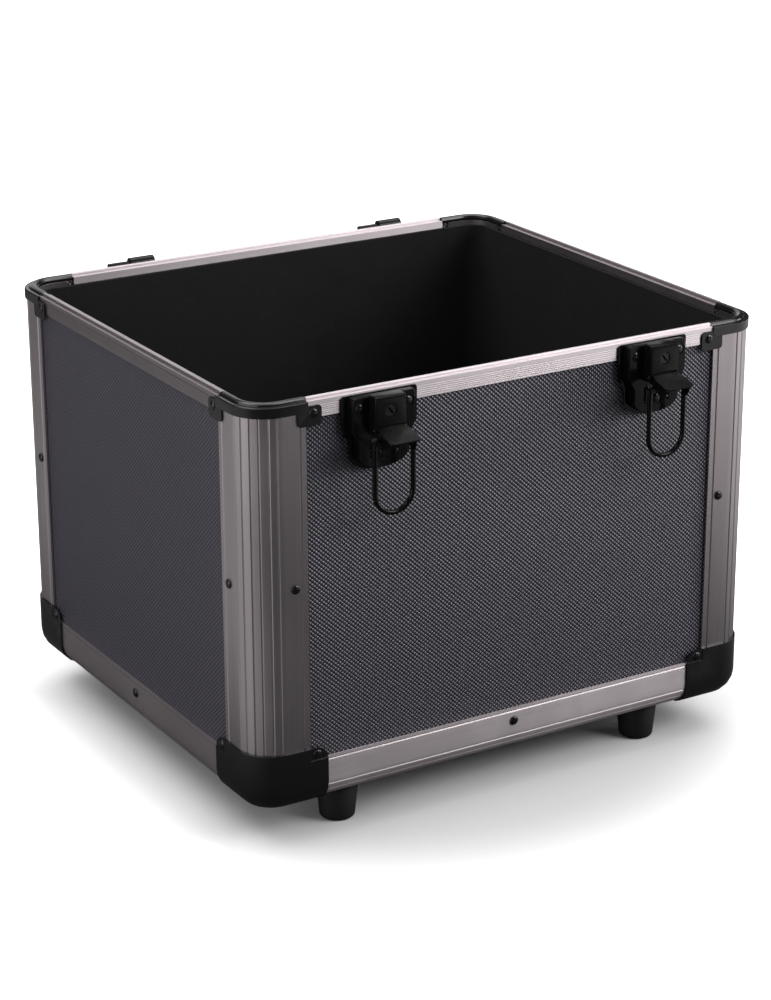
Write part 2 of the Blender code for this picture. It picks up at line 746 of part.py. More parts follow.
def corner_block(offset, leg, top, ear_round):
    """Solid bottom corner: round upright edge, round bottom edges, and eased upper ends."""
    plan = [(leg, -offset)]
    plan += arc((CORNER_RADIUS, CORNER_RADIUS), CORNER_RADIUS + offset, 270, 180, CORNER_STEPS)
    plan += [(-offset, leg), (leg, leg)]
    bottom = FOOT_HEIGHT - offset
    work = bmesh.new()
    work.from_mesh(prism([plan], bottom, top - bottom))
    bmesh.ops.dissolve_limit(
        work, angle_limit=math.radians(1), verts=work.verts, edges=work.edges
    )

    def outer_bottom(edge):
        ends = [vert.co for vert in edge.verts]
        low = all(abs(co.z - bottom) < MERGE for co in ends)
        inner = all(abs(co.x - leg) < MERGE for co in ends) or all(abs(co.y - leg) < MERGE for co in ends)
        return low and not inner

    def upper_end(edge):
        ends = [vert.co for vert in edge.verts]
        high = all(abs(co.z - top) < MERGE for co in ends)
        along_x = all(abs(co.x - leg) < MERGE for co in ends)
        return high and (along_x or all(abs(co.y - leg) < MERGE for co in ends))

    chain = [edge for edge in work.edges if outer_bottom(edge)]
    bmesh.ops.bevel(
        work,
        geom=chain,
        offset=BASE_RADIUS + offset,
        segments=BALL_BEVEL_STEPS,
        profile=0.5,
        affect="EDGES",
    )
    if ear_round:
        ends = [edge for edge in work.edges if upper_end(edge)]
        bmesh.ops.bevel(work, geom=ends, offset=ear_round, segments=4, profile=0.5, affect="EDGES")
    return from_bmesh(work, "corner_block")


def ball_pocket():
    """Shallow pocket that the rivet of a ball corner sits in, on the first arm."""
    left = BALL_RIVET_INSET - BALL_POCKET_WIDTH / 2
    low = (left, -PROUD - OVERRUN, BASE_TOP + BALL_RIVET_RISE - BALL_POCKET_HEIGHT / 2)
    high = (BALL_LEG + OVERRUN, BALL_POCKET_DEPTH - PROUD, BASE_TOP + BALL_RISE + OVERRUN)
    return box(low, high)


def build_ball_corners(material):
    """Moulded shells over the bottom corners."""
    top = BASE_TOP + BALL_RISE
    whole = guide_object(corner_block(PROUD, BALL_LEG, top, BALL_EAR_ROUND))
    carve(whole, guide_object(corner_block(GAP, BALL_LEG + OVERRUN, top + OVERRUN, 0)))
    carve(whole, guide_object(both_arms(ball_pocket())))
    seat = PROUD - BALL_POCKET_DEPTH
    rivet = rivet_mesh(seat)
    rivet.transform(facing_out(BALL_RIVET_INSET, seat - SINK, BASE_TOP + BALL_RIVET_RISE))
    carve(whole, guide_object(both_arms(rivet)), "UNION")
    mesh = baked(whole)
    for index, corner in enumerate(CORNERS):
        place(f"ball_corner_{corner}", mesh, material, corner_frame(index))


def build_feet(rubber):
    """Tapered rubber feet with their studs, and the cutter of the studs' holes."""
    top = FOOT_HEIGHT - GAP
    tip = FOOT_HEIGHT + PANEL_IN - RIVET_SHORT
    edge = arc((FOOT_BOTTOM_RADIUS - FOOT_EDGE_ROUND, FOOT_EDGE_ROUND), FOOT_EDGE_ROUND, 0, -90, 3)
    profile = [(0, tip), (STUD_RADIUS, tip), (STUD_RADIUS, top), (FOOT_TOP_RADIUS, top), *edge, (0, 0)]
    foot = turned(profile, FOOT_SIDES)
    hole = rod(STUD_RADIUS + GAP, FOOT_HEIGHT - OVERRUN, FOOT_HEIGHT + PANEL_IN + GAP / 2, HOLE_SIDES)
    x = CASE_WIDTH / 2 - FOOT_INSET_X
    y = CASE_DEPTH / 2 - FOOT_INSET_Y
    holes = []
    for corner, (i, j) in zip(CORNERS, ((-1, -1), (1, -1), (1, 1), (-1, 1))):
        frame = Matrix.Translation((i * x, CASE_MIDDLE_Y + j * y, 0))
        place(f"foot_{corner}", foot, rubber, frame)
        holes.append((hole, frame))
    return cutter("stud_holes", joined(holes))


def plate_outline(spread):
    """Outline of a latch plate, all round, at a spread outside its raised face."""
    wide = PLATE_HALF_WIDTH + spread
    narrow = PLATE_NECK_HALF_WIDTH + spread
    top = PLATE_TOP + spread * PLATE_TOP_SHARE
    bottom = PLATE_BOTTOM - spread * PLATE_BOTTOM_SHARE
    corner = (wide - PLATE_CORNER_ROUND, top - PLATE_CORNER_ROUND)
    right = arc(corner, PLATE_CORNER_ROUND, 90, 0, 3)
    for step in range(ARC_STEPS + 1):
        share = step / ARC_STEPS
        ease = (1 - math.cos(math.pi * share)) / 2
        height = PLATE_SHOULDER + (PLATE_NECK - PLATE_SHOULDER) * share
        right.append((wide + (narrow - wide) * ease, height))
    for step in range(ARC_STEPS):
        angle = QUARTER * step / ARC_STEPS
        low = PLATE_CHEEK + (bottom - PLATE_CHEEK) * math.sin(angle)
        right.append((narrow * math.cos(angle), low))
    left = [(-x, y) for x, y in reversed(right)]
    return right + [(0, bottom)] + left


def plate_pan():
    """Open pan of pressed sheet: a flange, a steep wall and a raised face, before it has thickness."""
    work = bmesh.new()
    rings = []
    for spread, out in (
        (PLATE_FLANGE_SPREAD, PLATE_START),
        (PLATE_WALL_SPREAD, PLATE_START),
        (PLATE_EDGE, PLATE_FACE - PLATE_EDGE),
        (0, PLATE_FACE),
    ):
        rings.append([work.verts.new((x, -out, z)) for x, z in plate_outline(spread)])
    for outer, inner in zip(rings, rings[1:]):
        for number in range(len(outer)):
            after = (number + 1) % len(outer)
            work.faces.new((outer[number], outer[after], inner[after], inner[number]))
    work.faces.new(rings[-1])
    bmesh.ops.recalc_face_normals(work, faces=work.faces)
    face = max(work.faces, key=lambda item: item.calc_area())
    if face.normal.y > 0:
        bmesh.ops.reverse_faces(work, faces=work.faces)
    mesh = bpy.data.meshes.new("pan")
    work.to_mesh(mesh)
    work.free()
    return mesh


def across(outline_sets, low, high):
    """Draws outlines of X out and Y up along the latch's own X axis, between two places."""
    frame = Matrix(((0, 0, 1, 0), (-1, 0, 0, 0), (0, 1, 0, 0), (0, 0, 0, 1)))
    return prism(outline_sets, low, high - low, frame)


def circle(centre, radius, steps=PIN_SIDES):
    return arc(centre, radius, 0, 360 - 360 / steps, steps - 1)


def build_latch_plate(side, latch, material):
    """Pressed plate with its three rivets in shallow recesses, and slots for the lever's cheeks."""
    plate = place(f"latch_{side}_plate", plate_pan(), material, parent=latch)
    sheet = plate.modifiers.new("Sheet", "SOLIDIFY")
    sheet.thickness = PLATE_SHEET
    sheet.offset = -1
    sheet.use_even_offset = True
    slots = []
    for sign in (-1, 1):
        near = sign * (CHEEK_OUT - CHEEK_THICK - SLOT_CLEARANCE)
        inner, outer = sorted((near, sign * (CHEEK_OUT + SLOT_CLEARANCE)))
        low = (inner, -PLATE_FACE - OVERRUN, PLATE_SLOT_BOTTOM)
        slots.append((box(low, (outer, -PLATE_START, PLATE_SLOT_TOP)), Matrix()))
    carve(plate, cutter(f"{side}_slots", joined(slots), parent=latch))
    seat = PLATE_FACE - RECESS_DEPTH
    recess = rod(RECESS_RADIUS, seat, PLATE_FACE + OVERRUN, BARREL_SIDES)
    rivet = rivet_mesh(seat)
    recesses, rivets = [], []
    for x, height in (
        (-LATCH_RIVET_X, LATCH_RIVET_HEIGHT),
        (LATCH_RIVET_X, LATCH_RIVET_HEIGHT),
        (0, LATCH_RIVET_LOW),
    ):
        recesses.append((recess, facing_out(x, 0, height)))
        rivets.append((rivet, facing_out(x, seat - SINK, height)))
    carve(plate, cutter(f"{side}_recesses", joined(recesses), parent=latch))
    carve(plate, cutter(f"{side}_plate_rivets", joined(rivets), parent=latch), "UNION")
    plate.modifiers.new("Even faces", "TRIANGULATE").ngon_method = "BEAUTY"


def housing_block():
    """Solid form of a lock housing, with the edges round its face eased."""
    back = PLATE_FACE + GAP
    low = PIVOT_HEIGHT - EAR_RADIUS
    top = (HOUSING_FACE - HOUSING_ROUND, HOUSING_TOP - HOUSING_ROUND)
    outline = [(back, low)]
    outline += arc((HOUSING_FACE - EAR_RADIUS, PIVOT_HEIGHT), EAR_RADIUS, 270, 360, 4)
    outline += arc(top, HOUSING_ROUND, 0, 90, 3)
    outline.append((back, HOUSING_TOP))
    work = bmesh.new()
    work.from_mesh(across([outline], -HOUSING_HALF_WIDTH, HOUSING_HALF_WIDTH))
    bmesh.ops.dissolve_limit(
        work, angle_limit=math.radians(1), verts=work.verts, edges=work.edges
    )

    def eased(edge):
        ends = [vert.co for vert in edge.verts]
        at_side = abs(sum(co.x for co in ends)) > 2 * (HOUSING_HALF_WIDTH - MERGE)
        at_back = all(-co.y < back + MERGE for co in ends)
        at_bottom = all(co.z < low + MERGE for co in ends)
        return at_side and not at_back and not at_bottom

    chosen = [edge for edge in work.edges if eased(edge)]
    bmesh.ops.bevel(
        work, geom=chosen, offset=HOUSING_EDGE, segments=3, profile=0.5, affect="EDGES"
    )
    return from_bmesh(work, "housing")


def build_lock(side, latch, material, steel):
    """Hollow lock housing that is open below, and the key barrel in it with a cam at its end."""
    housing = place(f"latch_{side}_housing", housing_block(), material, parent=latch)
    inside = HOUSING_HALF_WIDTH - HOUSING_WALL
    under = PIVOT_HEIGHT - EAR_RADIUS - OVERRUN
    back = OVERRUN - PLATE_FACE
    roof = HOUSING_TOP - HOUSING_WALL
    hollow = box((-inside, HOUSING_WALL - HOUSING_FACE, under), (inside, back, roof))
    mouth = box((-inside, -HOUSING_FACE - OVERRUN, under), (inside, back, HOUSING_FACE_BOTTOM))
    hole = rod(BARREL_RADIUS + GAP, PLATE_FACE, HOUSING_FACE + OVERRUN, BARREL_SIDES)
    frame = facing_out(0, 0, BARREL_HEIGHT)
    pivot = rod(PIN_RADIUS + GAP, -HOUSING_HALF_WIDTH - OVERRUN, HOUSING_HALF_WIDTH + OVERRUN, PIN_SIDES)
    axis = Matrix.Translation((0, -PIVOT_OUT, PIVOT_HEIGHT)) @ LYING
    for name, shape, at in (
        ("hollow", hollow, Matrix()),
        ("mouth", mouth, Matrix()),
        ("barrel_hole", hole, frame),
        ("pivot_hole", pivot, axis),
    ):
        carve(housing, cutter(f"{side}_{name}", shape, at, latch))
    face = HOUSING_FACE - BARREL_RECESS
    inner_end = face - BARREL_LENGTH
    barrel_mesh = rod(BARREL_RADIUS, inner_end - SINK, face, BARREL_SIDES)
    barrel = place(f"latch_{side}_key_barrel", barrel_mesh, steel, frame, latch)
    half_way = KEYWAY_WIDTH / 2
    keyway_low = (-half_way, -KEYWAY_LENGTH / 2, face - KEYWAY_DEPTH)
    keyway = box(keyway_low, (half_way, KEYWAY_LENGTH / 2, face + OVERRUN))
    keyway.transform(Matrix.Rotation(math.radians(KEYWAY_DEGREES), 4, "Z"))
    carve(barrel, cutter(f"{side}_keyway", keyway, frame, latch))
    radius = CAM_WIDTH / 2
    outline = arc((0, 0), radius, 90, 270) + arc((CAM_LENGTH - CAM_WIDTH, 0), radius, 270, 450)
    cam = prism([outline], inner_end - CAM_THICK, CAM_THICK)
    carve(barrel, cutter(f"{side}_cam", cam, frame, latch), "UNION")


def lever_top():
    """Outline of the lever's top sheet: X across, Y from the pivot towards the free edge."""
    right = [(CHEEK_OUT, -LEVER_BACK), (CHEEK_OUT, LEVER_ROOT_REACH)]
    right.append((LEVER_TIP_HALF_WIDTH, LEVER_ROOT_REACH + LEVER_WIDENING))
    corner = (LEVER_TIP_HALF_WIDTH - LEVER_TIP_ROUND, LEVER_LENGTH - LEVER_TIP_ROUND)
    right += arc(corner, LEVER_TIP_ROUND, 0, 90)
    return right + [(-x, y) for x, y in reversed(right)]


def lever_cheek():
    """Outline of a side cheek of the lever: X out along the lever, Y up through its sheet."""
    buried = LEVER_FACE - LEVER_SHEET / 2
    back = SINK - LEVER_BACK
    outline = [(back, buried), (back, -CHEEK_NOSE / 2), (0, -CHEEK_NOSE)]
    for along, depth in (CHEEK_THROAT, CHEEK_HEEL, CHEEK_TOE, CHEEK_END):
        outline.append((along, -depth))
    outline.append((CHEEK_REACH, buried))
    return outline


def build_lever(side, latch, material):
    """Lever of pressed sheet on its pivot, resting open; its origin is on the pivot's axis."""
    pivot = Vector((0, -PIVOT_OUT, PIVOT_HEIGHT))
    rest = math.radians(LEVER_REST_DEGREES)
    frame = Matrix.Translation(pivot) @ Matrix.Rotation(rest, 4, "X")
    bail_pin = Vector((0, -BAIL_PIN_OUT, BAIL_PIN_HEIGHT))
    inside = frame.inverted() @ bail_pin
    pin_at = (-inside.y, inside.z)
    top = prism([lever_top()], LEVER_FACE - LEVER_SHEET, LEVER_SHEET, Matrix.Diagonal((1, -1, 1, 1)))
    lever = place(f"latch_{side}_lever", top, material, frame, latch)
    holes = [circle((0, 0), PIN_RADIUS + GAP), circle(pin_at, BAIL_PIN_RADIUS + GAP)]
    cheeks = []
    for sign in (-1, 1):
        outer = sign * (CHEEK_OUT - SINK)
        low, high = sorted((outer, sign * (CHEEK_OUT - CHEEK_THICK)))
        cheeks.append((across([lever_cheek(), *holes], low, high), Matrix()))
    carve(lever, cutter(f"{side}_cheeks", joined(cheeks), frame, latch), "UNION")


def pin_mesh(radius, half_length, head_radius, head_thick):
    """Pin along X with a low head at each end."""
    end = half_length + head_thick
    profile = [(0, end), (head_radius, end), (head_radius, half_length), (radius, half_length)]
    profile += [(radius, -half_length), (head_radius, -half_length), (head_radius, -end), (0, -end)]
    mesh = turned(profile, PIN_SIDES)
    mesh.transform(LYING)
    return mesh


def build_bail(side, latch, material, steel):
    """Bail pin through the lever, and the wire bail hanging from it by two eyes."""
    frame = Matrix.Translation((0, -BAIL_PIN_OUT, BAIL_PIN_HEIGHT))
    half = BAIL_HALF_WIDTH + BAIL_WIRE_RADIUS + GAP
    pin = pin_mesh(BAIL_PIN_RADIUS, half, BAIL_PIN_HEAD_RADIUS, PIN_HEAD_THICK)
    place(f"latch_{side}_bail_pin", pin, steel, frame, latch)
    curve = bpy.data.curves.new("wire", "CURVE")
    curve.dimensions = "3D"
    curve.bevel_depth = BAIL_WIRE_RADIUS
    curve.bevel_resolution = 2
    curve.use_fill_caps = True
    start = -BAIL_EYE_RADIUS + BAIL_WIRE_RADIUS / 2
    bend = arc((0, BAIL_HALF_WIDTH - BAIL_DROP), BAIL_HALF_WIDTH, 180, 360, BAIL_BEND_STEPS)
    route = [(-BAIL_HALF_WIDTH, start), *bend, (BAIL_HALF_WIDTH, start)]
    spline = curve.splines.new("POLY")
    spline.points.add(len(route) - 1)
    for point, (x, z) in zip(spline.points, route):
        point.co = (x, 0, z, 1)
    guide = bpy.data.objects.new("wire", curve)
    bpy.context.scene.collection.objects.link(guide)
    work = bmesh.new()
    work.from_mesh(baked(guide))
    bmesh.ops.remove_doubles(work, verts=work.verts, dist=MERGE)
    bail = place(f"latch_{side}_bail", from_bmesh(work, "bail"), material, frame, latch)
    eyes = []
    for sign in (-1, 1):
        middle = sign * BAIL_HALF_WIDTH
        outline = [circle((0, 0), BAIL_EYE_RADIUS), circle((0, 0), BAIL_PIN_RADIUS + GAP)]
        eye = across(outline, middle - BAIL_WIRE_RADIUS, middle + BAIL_WIRE_RADIUS)
        eyes.append((eye, Matrix()))
    carve(bail, cutter(f"{side}_eyes", joined(eyes), frame, latch), "UNION")


def build_latches(black_metal, steel):
    """Both draw latches on the front wall, each on an empty that stands for the whole latch."""
    pin = pin_mesh(PIN_RADIUS, HOUSING_HALF_WIDTH + GAP, PIN_HEAD_RADIUS, PIN_HEAD_THICK)
    at = Matrix.Translation((0, -PIVOT_OUT, PIVOT_HEIGHT))
    for side, sign in (("left", -1), ("right", 1)):
        latch = bpy.data.objects.new(f"latch_{side}", None)
        bpy.data.collections["record_case"].objects.link(latch)
        latch.matrix_basis = latch_frame(sign)
        build_latch_plate(side, latch, black_metal)
        build_lock(side, latch, black_metal, steel)
        build_lever(side, latch, black_metal)
        build_bail(side, latch, black_metal, steel)
        place(f"latch_{side}_pivot_pin", pin, steel, at, latch)


def build_hinges(material):
    """Case halves of two lift-off hinges on the back wall: a riveted leaf, its knuckle and pin."""
    outline = rounded_plate(LEAF_WIDTH / 2, -LEAF_DROP, RIM_FACE, LEAF_ROUND, LEAF_ROUND)
    leaf_mesh = prism([outline], GAP, LEAF_THICK, FACING_WALL)
    knuckle = rod(KNUCKLE_RADIUS, -KNUCKLE_LENGTH, 0, FOOT_SIDES)
    pin = rod(HINGE_PIN_RADIUS, -SINK, HINGE_PIN_LENGTH, BARREL_SIDES)
    axis = Matrix.Translation((0, -HINGE_OUT, RIM_FACE)) @ LYING
    seat = GAP + LEAF_THICK
    rivet = rivet_mesh(seat)
    rivets = []
    for sign in (-1, 1):
        rivets.append((rivet, facing_out(sign * LEAF_RIVET_X, seat - SINK, LEAF_RIVET_HEIGHT)))
    for side, sign in (("left", 1), ("right", -1)):
        frame = hinge_frame(sign)
        leaf = place(f"hinge_leaf_{side}", leaf_mesh, material, frame)
        carve(leaf, cutter(f"{side}_knuckle", knuckle, frame @ axis), "UNION")
        carve(leaf, cutter(f"{side}_hinge_pin", pin, frame @ axis), "UNION")
        carve(leaf, cutter(f"{side}_hinge_rivets", joined(rivets), frame), "UNION")


def main():
    for item in list(bpy.data.objects):
        bpy.data.objects.remove(item)
    new_collection("record_case")
    new_collection("cutters")
    aluminium = make_material("profile_aluminium", (0.36, 0.33, 0.345), 0.38, 1.0)
    laminate = make_material("panel_laminate", (0.06, 0.06, 0.068), 0.5)
    moulding = make_material("corner_plastic", (0.012, 0.012, 0.013), 0.35)
    black_metal = make_material("latch_black", (0.012, 0.012, 0.012), 0.3, 0.4)
    rivet_black = make_material("rivet_black", (0.015, 0.014, 0.014), 0.22, 0.6)
    pin_steel = make_material("pin_steel", (0.05, 0.05, 0.05), 0.3, 1.0)
    rubber = make_material("foot_rubber", (0.01, 0.01, 0.01), 0.7)
    lining = make_material("lining_foam", (0.01, 0.01, 0.01), 0.95)
    rivet_holes = build_rivets(rivet_black)
    stud_holes = build_feet(rubber)
    build_walls(laminate, lining, rivet_holes)
    build_base(laminate, lining, stud_holes)
    build_corner_profiles(aluminium, rivet_holes)
    build_long_profiles(aluminium, rivet_holes, stud_holes)
    build_top_caps(moulding)
    build_ball_corners(moulding)
    build_latches(black_metal, pin_steel)
    build_hinges(black_metal)


main()
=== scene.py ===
"""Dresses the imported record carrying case.

It eases edges, turns rivets and feet, bends the bails' wire and gives every piece its worn finish.
"""

import json
import math

import bmesh
import bpy
from mathutils import Matrix, Vector

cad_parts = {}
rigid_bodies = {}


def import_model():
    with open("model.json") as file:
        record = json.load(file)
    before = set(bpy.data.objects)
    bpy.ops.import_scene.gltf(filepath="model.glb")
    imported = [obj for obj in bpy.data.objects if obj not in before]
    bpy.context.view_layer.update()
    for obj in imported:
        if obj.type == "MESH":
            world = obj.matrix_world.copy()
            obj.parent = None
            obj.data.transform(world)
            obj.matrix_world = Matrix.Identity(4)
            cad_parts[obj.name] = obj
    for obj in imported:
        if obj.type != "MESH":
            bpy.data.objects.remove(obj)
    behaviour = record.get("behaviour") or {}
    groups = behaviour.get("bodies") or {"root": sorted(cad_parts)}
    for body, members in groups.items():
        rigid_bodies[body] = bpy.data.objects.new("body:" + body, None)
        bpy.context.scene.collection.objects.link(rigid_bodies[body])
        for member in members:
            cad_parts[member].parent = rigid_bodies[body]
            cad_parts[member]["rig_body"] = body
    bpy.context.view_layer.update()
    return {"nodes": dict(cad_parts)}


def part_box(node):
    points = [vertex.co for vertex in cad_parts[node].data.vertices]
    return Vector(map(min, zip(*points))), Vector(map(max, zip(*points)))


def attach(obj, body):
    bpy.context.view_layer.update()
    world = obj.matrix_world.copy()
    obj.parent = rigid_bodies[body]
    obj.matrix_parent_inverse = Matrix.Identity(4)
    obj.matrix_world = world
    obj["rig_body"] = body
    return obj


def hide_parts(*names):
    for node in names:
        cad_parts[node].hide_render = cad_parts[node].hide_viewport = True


bl_info = {
    "name": "Record Carrying Case",
    "version": (1, 0, 0),
    "blender": (4, 5, 0),
    "location": "3D View > Sidebar > Case",
    "description": "Dresses a packed record carrying case and lights it on a pale floor",
    "category": "Object",
}

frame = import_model()

SIDES = ("front", "right", "back", "left")
CORNERS = ("front_left", "front_right", "back_right", "back_left")
CASE_HALF_WIDTH = 0.187
CASE_HALF_DEPTH = 0.165
CASE_MIDDLE_Y = 0.01196138
PANEL_TOP = 0.2755
LATCH_X = 0.0998

# Rivets on each wall: distance from the wall's end, height, and depth of the seat out of the wall
WALL_RIVETS = (
    (0.0427, 0.2787, 0.0009),
    (0.0425, 0.0595, 0.0007),
    (0.0293, 0.1702, 0.0003),
)
BASE_RIVET_HEIGHT = 0.0473
BASE_RIVET_SEAT = 0.0003
# Rivets on a latch plate and on a hinge leaf: across, height above the panel's top, and seat
PLATE_RIVETS = ((-0.0165, 0.0025, 0.0062), (0.0165, 0.0025, 0.0062), (0.0, -0.027, 0.0062))
LEAF_RIVETS = ((-0.013, 0.0045, 0.0016), (0.013, 0.0045, 0.0016))
# A head goes a little into its seat, where it is drawn in to this share of its radius
RIVET_SINK = 0.0001
RIVET_SKIRT = 0.98
RIVET_SIDES = 32

# Feet: top and its eased rim, flat sole, rounded lower edge, and the hollow under the sole
FOOT_TOP = 0.0247
FOOT_TOP_RADIUS = 0.0135
FOOT_TOP_FLAT = 0.0133
FOOT_TOP_EASE = 0.0003
FOOT_SOLE_RADIUS = 0.0089
FOOT_EDGE = 0.0025
FOOT_HOLLOW_RIM = 0.0052
FOOT_HOLLOW_RADIUS = 0.0046
FOOT_HOLLOW_DEPTH = 0.0008
FOOT_SIDES = 48

# Bails: the pin that they hang on, half the width between the legs, how far under the pin the legs
# start, the step along them, and how far under the pin the bend starts
BAIL_PIN_Y = -0.17073862
BAIL_PIN_Z = 0.2604
BAIL_HALF_WIDTH = 0.0132
LEG_START = 0.0015
LEG_STEP = 0.0053
LEG_POINTS = 6
BEND_START = 0.0333
BEND_STEPS = 32
WIRE_SIDES = 20
EYE_INNER = 0.0012
EYE_OUTER = 0.0022
EYE_EASE = 0.3
EYE_SIDES = 36

# Steps of a quarter round
ARC_STEPS = 8
# Angles in degrees: faces this flat are one face, and edges sharper than the others are eased
FLAT_ANGLE = 0.6
MOULDED_ANGLE = 32
PROFILE_ANGLE = 24
PRESSED_ANGLE = 20
TURNED_ANGLE = 50
EASING_SEGMENTS = 2
WELD_DISTANCE = 1e-6
PIN_EDGE = 0.00012
FOAM_EDGE = 0.0004

# Embossed points: how much of the second wave counts in them, and their shades: painted shade in
# the valleys and a painted highlight on the points
RIDGE_SHARE = 0.82
VALLEY_PAINTED_SHADE = 0.12
POINT_PAINTED_HIGHLIGHT = 1.85
# Ends of the soft steps that make marks from height, noise, pointed edges and slope; the step from
# height masks the painted shade in the embossed valleys
VALLEY_PAINTED_SHADE_STEP = (0.2, 0.85)
FLECK_STEP = (0.56, 0.74)
EDGE_STEP = (0.53, 0.62)
WORN_STEP = (0.40, 0.62)
SMUDGE_STEP = (0.38, 0.68)
UPWARD_STEP = (0.55, 1.0)
MOTE_STEP = (0.5, 0.72)
# Drawn lines: their stretch along the profile, and the shades of their streaks
LINE_STRETCH = 0.012
STREAK_DARK = 0.88
STREAK_PALE = 1.1

# Dark finishes: name, colour, roughness clean and smudged, grain's scale and depth, and the rest
GRAINED_FINISHES = (
    ("satin moulding", "moulding", (0.14, 0.22), 1400.0, 0.00002, {"shine": 0.45}),
    ("black coating", "coating", (0.13, 0.2), 1100.0, 0.00001, {"shine": 0.18}),
    ("glossy rivet", "rivet", (0.10, 0.18), 500.0, 0.00001, {"dust": 0.01}),
    ("blackened steel", "steel", (0.22, 0.34), 1800.0, 0.00001, {"metallic": 1.0}),
    ("black rubber", "rubber", (0.6, 0.78), 1200.0, 0.00005, {"dust": 0.05}),
    ("foam lining", "lining", (0.9, 0.98), 700.0, 0.0003, {"wear": 0.0}),
)

# Floor as reflections see it: dark, with painted light at the left and right for the metal to
# reflect; across and deep in metres, and its brightness there
FLOOR_LEFT_X = (-0.4, -0.2, 1.0, 0.0)
FLOOR_LEFT_Y = (-0.6, -0.1)
FLOOR_LEFT_BACK = (0.35, 1.0, 1.0, 0.3)
FLOOR_RIGHT_X = (0.15, 0.9)
FLOOR_LEFT_PAINTED_LIGHT = 0.26
FLOOR_RIGHT_PAINTED_LIGHT = 0.45
FLOOR_LEAST_TONE = 0.06
FLOOR_CLOUD_SHADE = 0.985
# Floor as the camera sees it: where a painted glow turns it white, by reach from the middle and at
# the left
PAINTED_GLOW_REACH = (0.19, 0.36)
PAINTED_GLOW_LEFT = (-0.26, -0.17, 1.0, 0.0)
FLOOR_GLOW = 0.9
FLOOR_HALF = 12

# Dome: share of the ceiling by depth and near the zenith, its colours, and the white backdrop
CEILING_DEPTH = (-0.6, 0.3, 0.35, 1.25)
CEILING_ZENITH = (0.9, 0.99, 1.0, 0.3)
DOME_DARK = (0.035, 0.034, 0.036)
DOME_PALE = (1.0, 0.985, 0.99)
WHITE = (1.0, 1.0, 1.0)
BLACK = (0.0, 0.0, 0.0)
BACKDROP_STRENGTH = 1.05

# Softboxes, all turned to the middle of the case: name, place and size
AIM_HEIGHT = 0.15
SOFTBOXES = (
    ("key", (1.3, -1.4, 1.2), (1.2, 0.9)),
    ("right", (2.1, -0.75, 0.45), (0.7, 0.8)),
    ("side", (-1.6, -0.2, 0.5), (1.9, 1.1)),
    ("back", (0.7, 2.0, 1.0), (1.8, 1.2)),
)

# Camera: place, turn to the right and tilt down in degrees, and roll in radians
CAMERA_PLACE = (-0.8799, -1.4586, 0.7692)
CAMERA_TURN = -31.01
CAMERA_DOWN = 19.99
CAMERA_ROLL = -0.0033
SENSOR_WIDTH = 36.0


def colour(name, description, default):
    return bpy.props.FloatVectorProperty(
        name=name, description=description, subtype="COLOR", size=3, min=0, max=1, default=default
    )


def length(name, description, default):
    return bpy.props.FloatProperty(
        name=name, description=description, unit="LENGTH", min=0, precision=5, default=default
    )


def power(name, description, default):
    return bpy.props.FloatProperty(
        name=name, description=description, unit="POWER", min=0, default=default
    )


class CaseColours(bpy.types.PropertyGroup):
    """Colours of the case's finishes."""

    anodised: colour("Anodised metal", "Colour of the aluminium profiles", (0.50, 0.455, 0.47))
    laminate: colour("Laminate", "Colour of the embossed wall panels", (0.061, 0.057, 0.075))
    moulding: colour("Moulding", "Colour of the caps and ball corners", (0.0090, 0.0086, 0.0090))
    coating: colour("Coating", "Colour of the latches and hinges", (0.004, 0.004, 0.004))
    rivet: colour("Rivets", "Colour of the rivet heads", (0.006, 0.0055, 0.0055))
    steel: colour("Pin steel", "Colour of the pins and key barrels", (0.045, 0.045, 0.047))
    rubber: colour("Rubber", "Colour of the feet", (0.007, 0.007, 0.007))
    lining: colour("Lining", "Colour of the foam inside", (0.006, 0.006, 0.0065))
    dust: colour("Dust", "Colour of dust and scuffs", (0.30, 0.28, 0.27))
    floor: colour("Floor", "Colour of the floor", (0.9, 0.9, 0.9))


class CaseSizes(bpy.types.PropertyGroup):
    """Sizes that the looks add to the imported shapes."""

    cell_width: length("Diamond width", "Width of one embossed diamond", 0.00313)
    cell_height: length("Diamond height", "Height of one embossed diamond", 0.00288)
    emboss: length("Emboss depth", "How deep the diamonds are pressed", 0.0005)
    metal_edge: length("Profile edge", "Rounding of the profiles' edges", 0.0001)
    panel_edge: length("Panel edge", "Rounding of the panels' edges", 0.0003)
    plastic_edge: length("Moulding edge", "Rounding of the mouldings' edges", 0.0004)
    latch_edge: length("Latch edge", "Rounding of the latches' pressed edges", 0.00022)
    rivet_radius: length("Rivet radius", "Radius of a rivet's head", 0.00304)
    rivet_height: length("Rivet height", "Height of a rivet's head", 0.0014)
    wire_radius: length("Wire radius", "Radius of the bails' wire", 0.0016)


class CaseStudio(bpy.types.PropertyGroup):
    """Lights and camera."""

    key: power("Key", "Power of the softbox in front, at the right", 24)
    right: power("Right", "Power of the low softbox at the right", 8)
    side: power("Side", "Power of the softbox at the left", 12)
    back: power("Back", "Power of the softbox behind the case", 6)
    sky_power: bpy.props.FloatProperty(
        name="Sky", description="Brightness of the ceiling over the studio", min=1, default=3.2
    )
    sky_low: bpy.props.FloatProperty(
        name="Sky's edge", description="Height on the dome where the ceiling starts", default=0.62
    )
    sky_high: bpy.props.FloatProperty(
        name="Sky's full", description="Height on the dome where the ceiling is full", default=0.86
    )
    lens: bpy.props.FloatProperty(
        name="Lens", description="Focal length of the camera", unit="CAMERA", default=97.16
    )


# Node building

def feed(tree, socket, value):
    """Links a socket to an input, or sets the input to a number or colour."""
    if isinstance(value, bpy.types.NodeSocket):
        tree.links.new(value, socket)
    elif isinstance(value, tuple) and len(value) == 3 and len(socket.default_value) == 4:
        socket.default_value = (*value, 1)
    else:
        socket.default_value = value


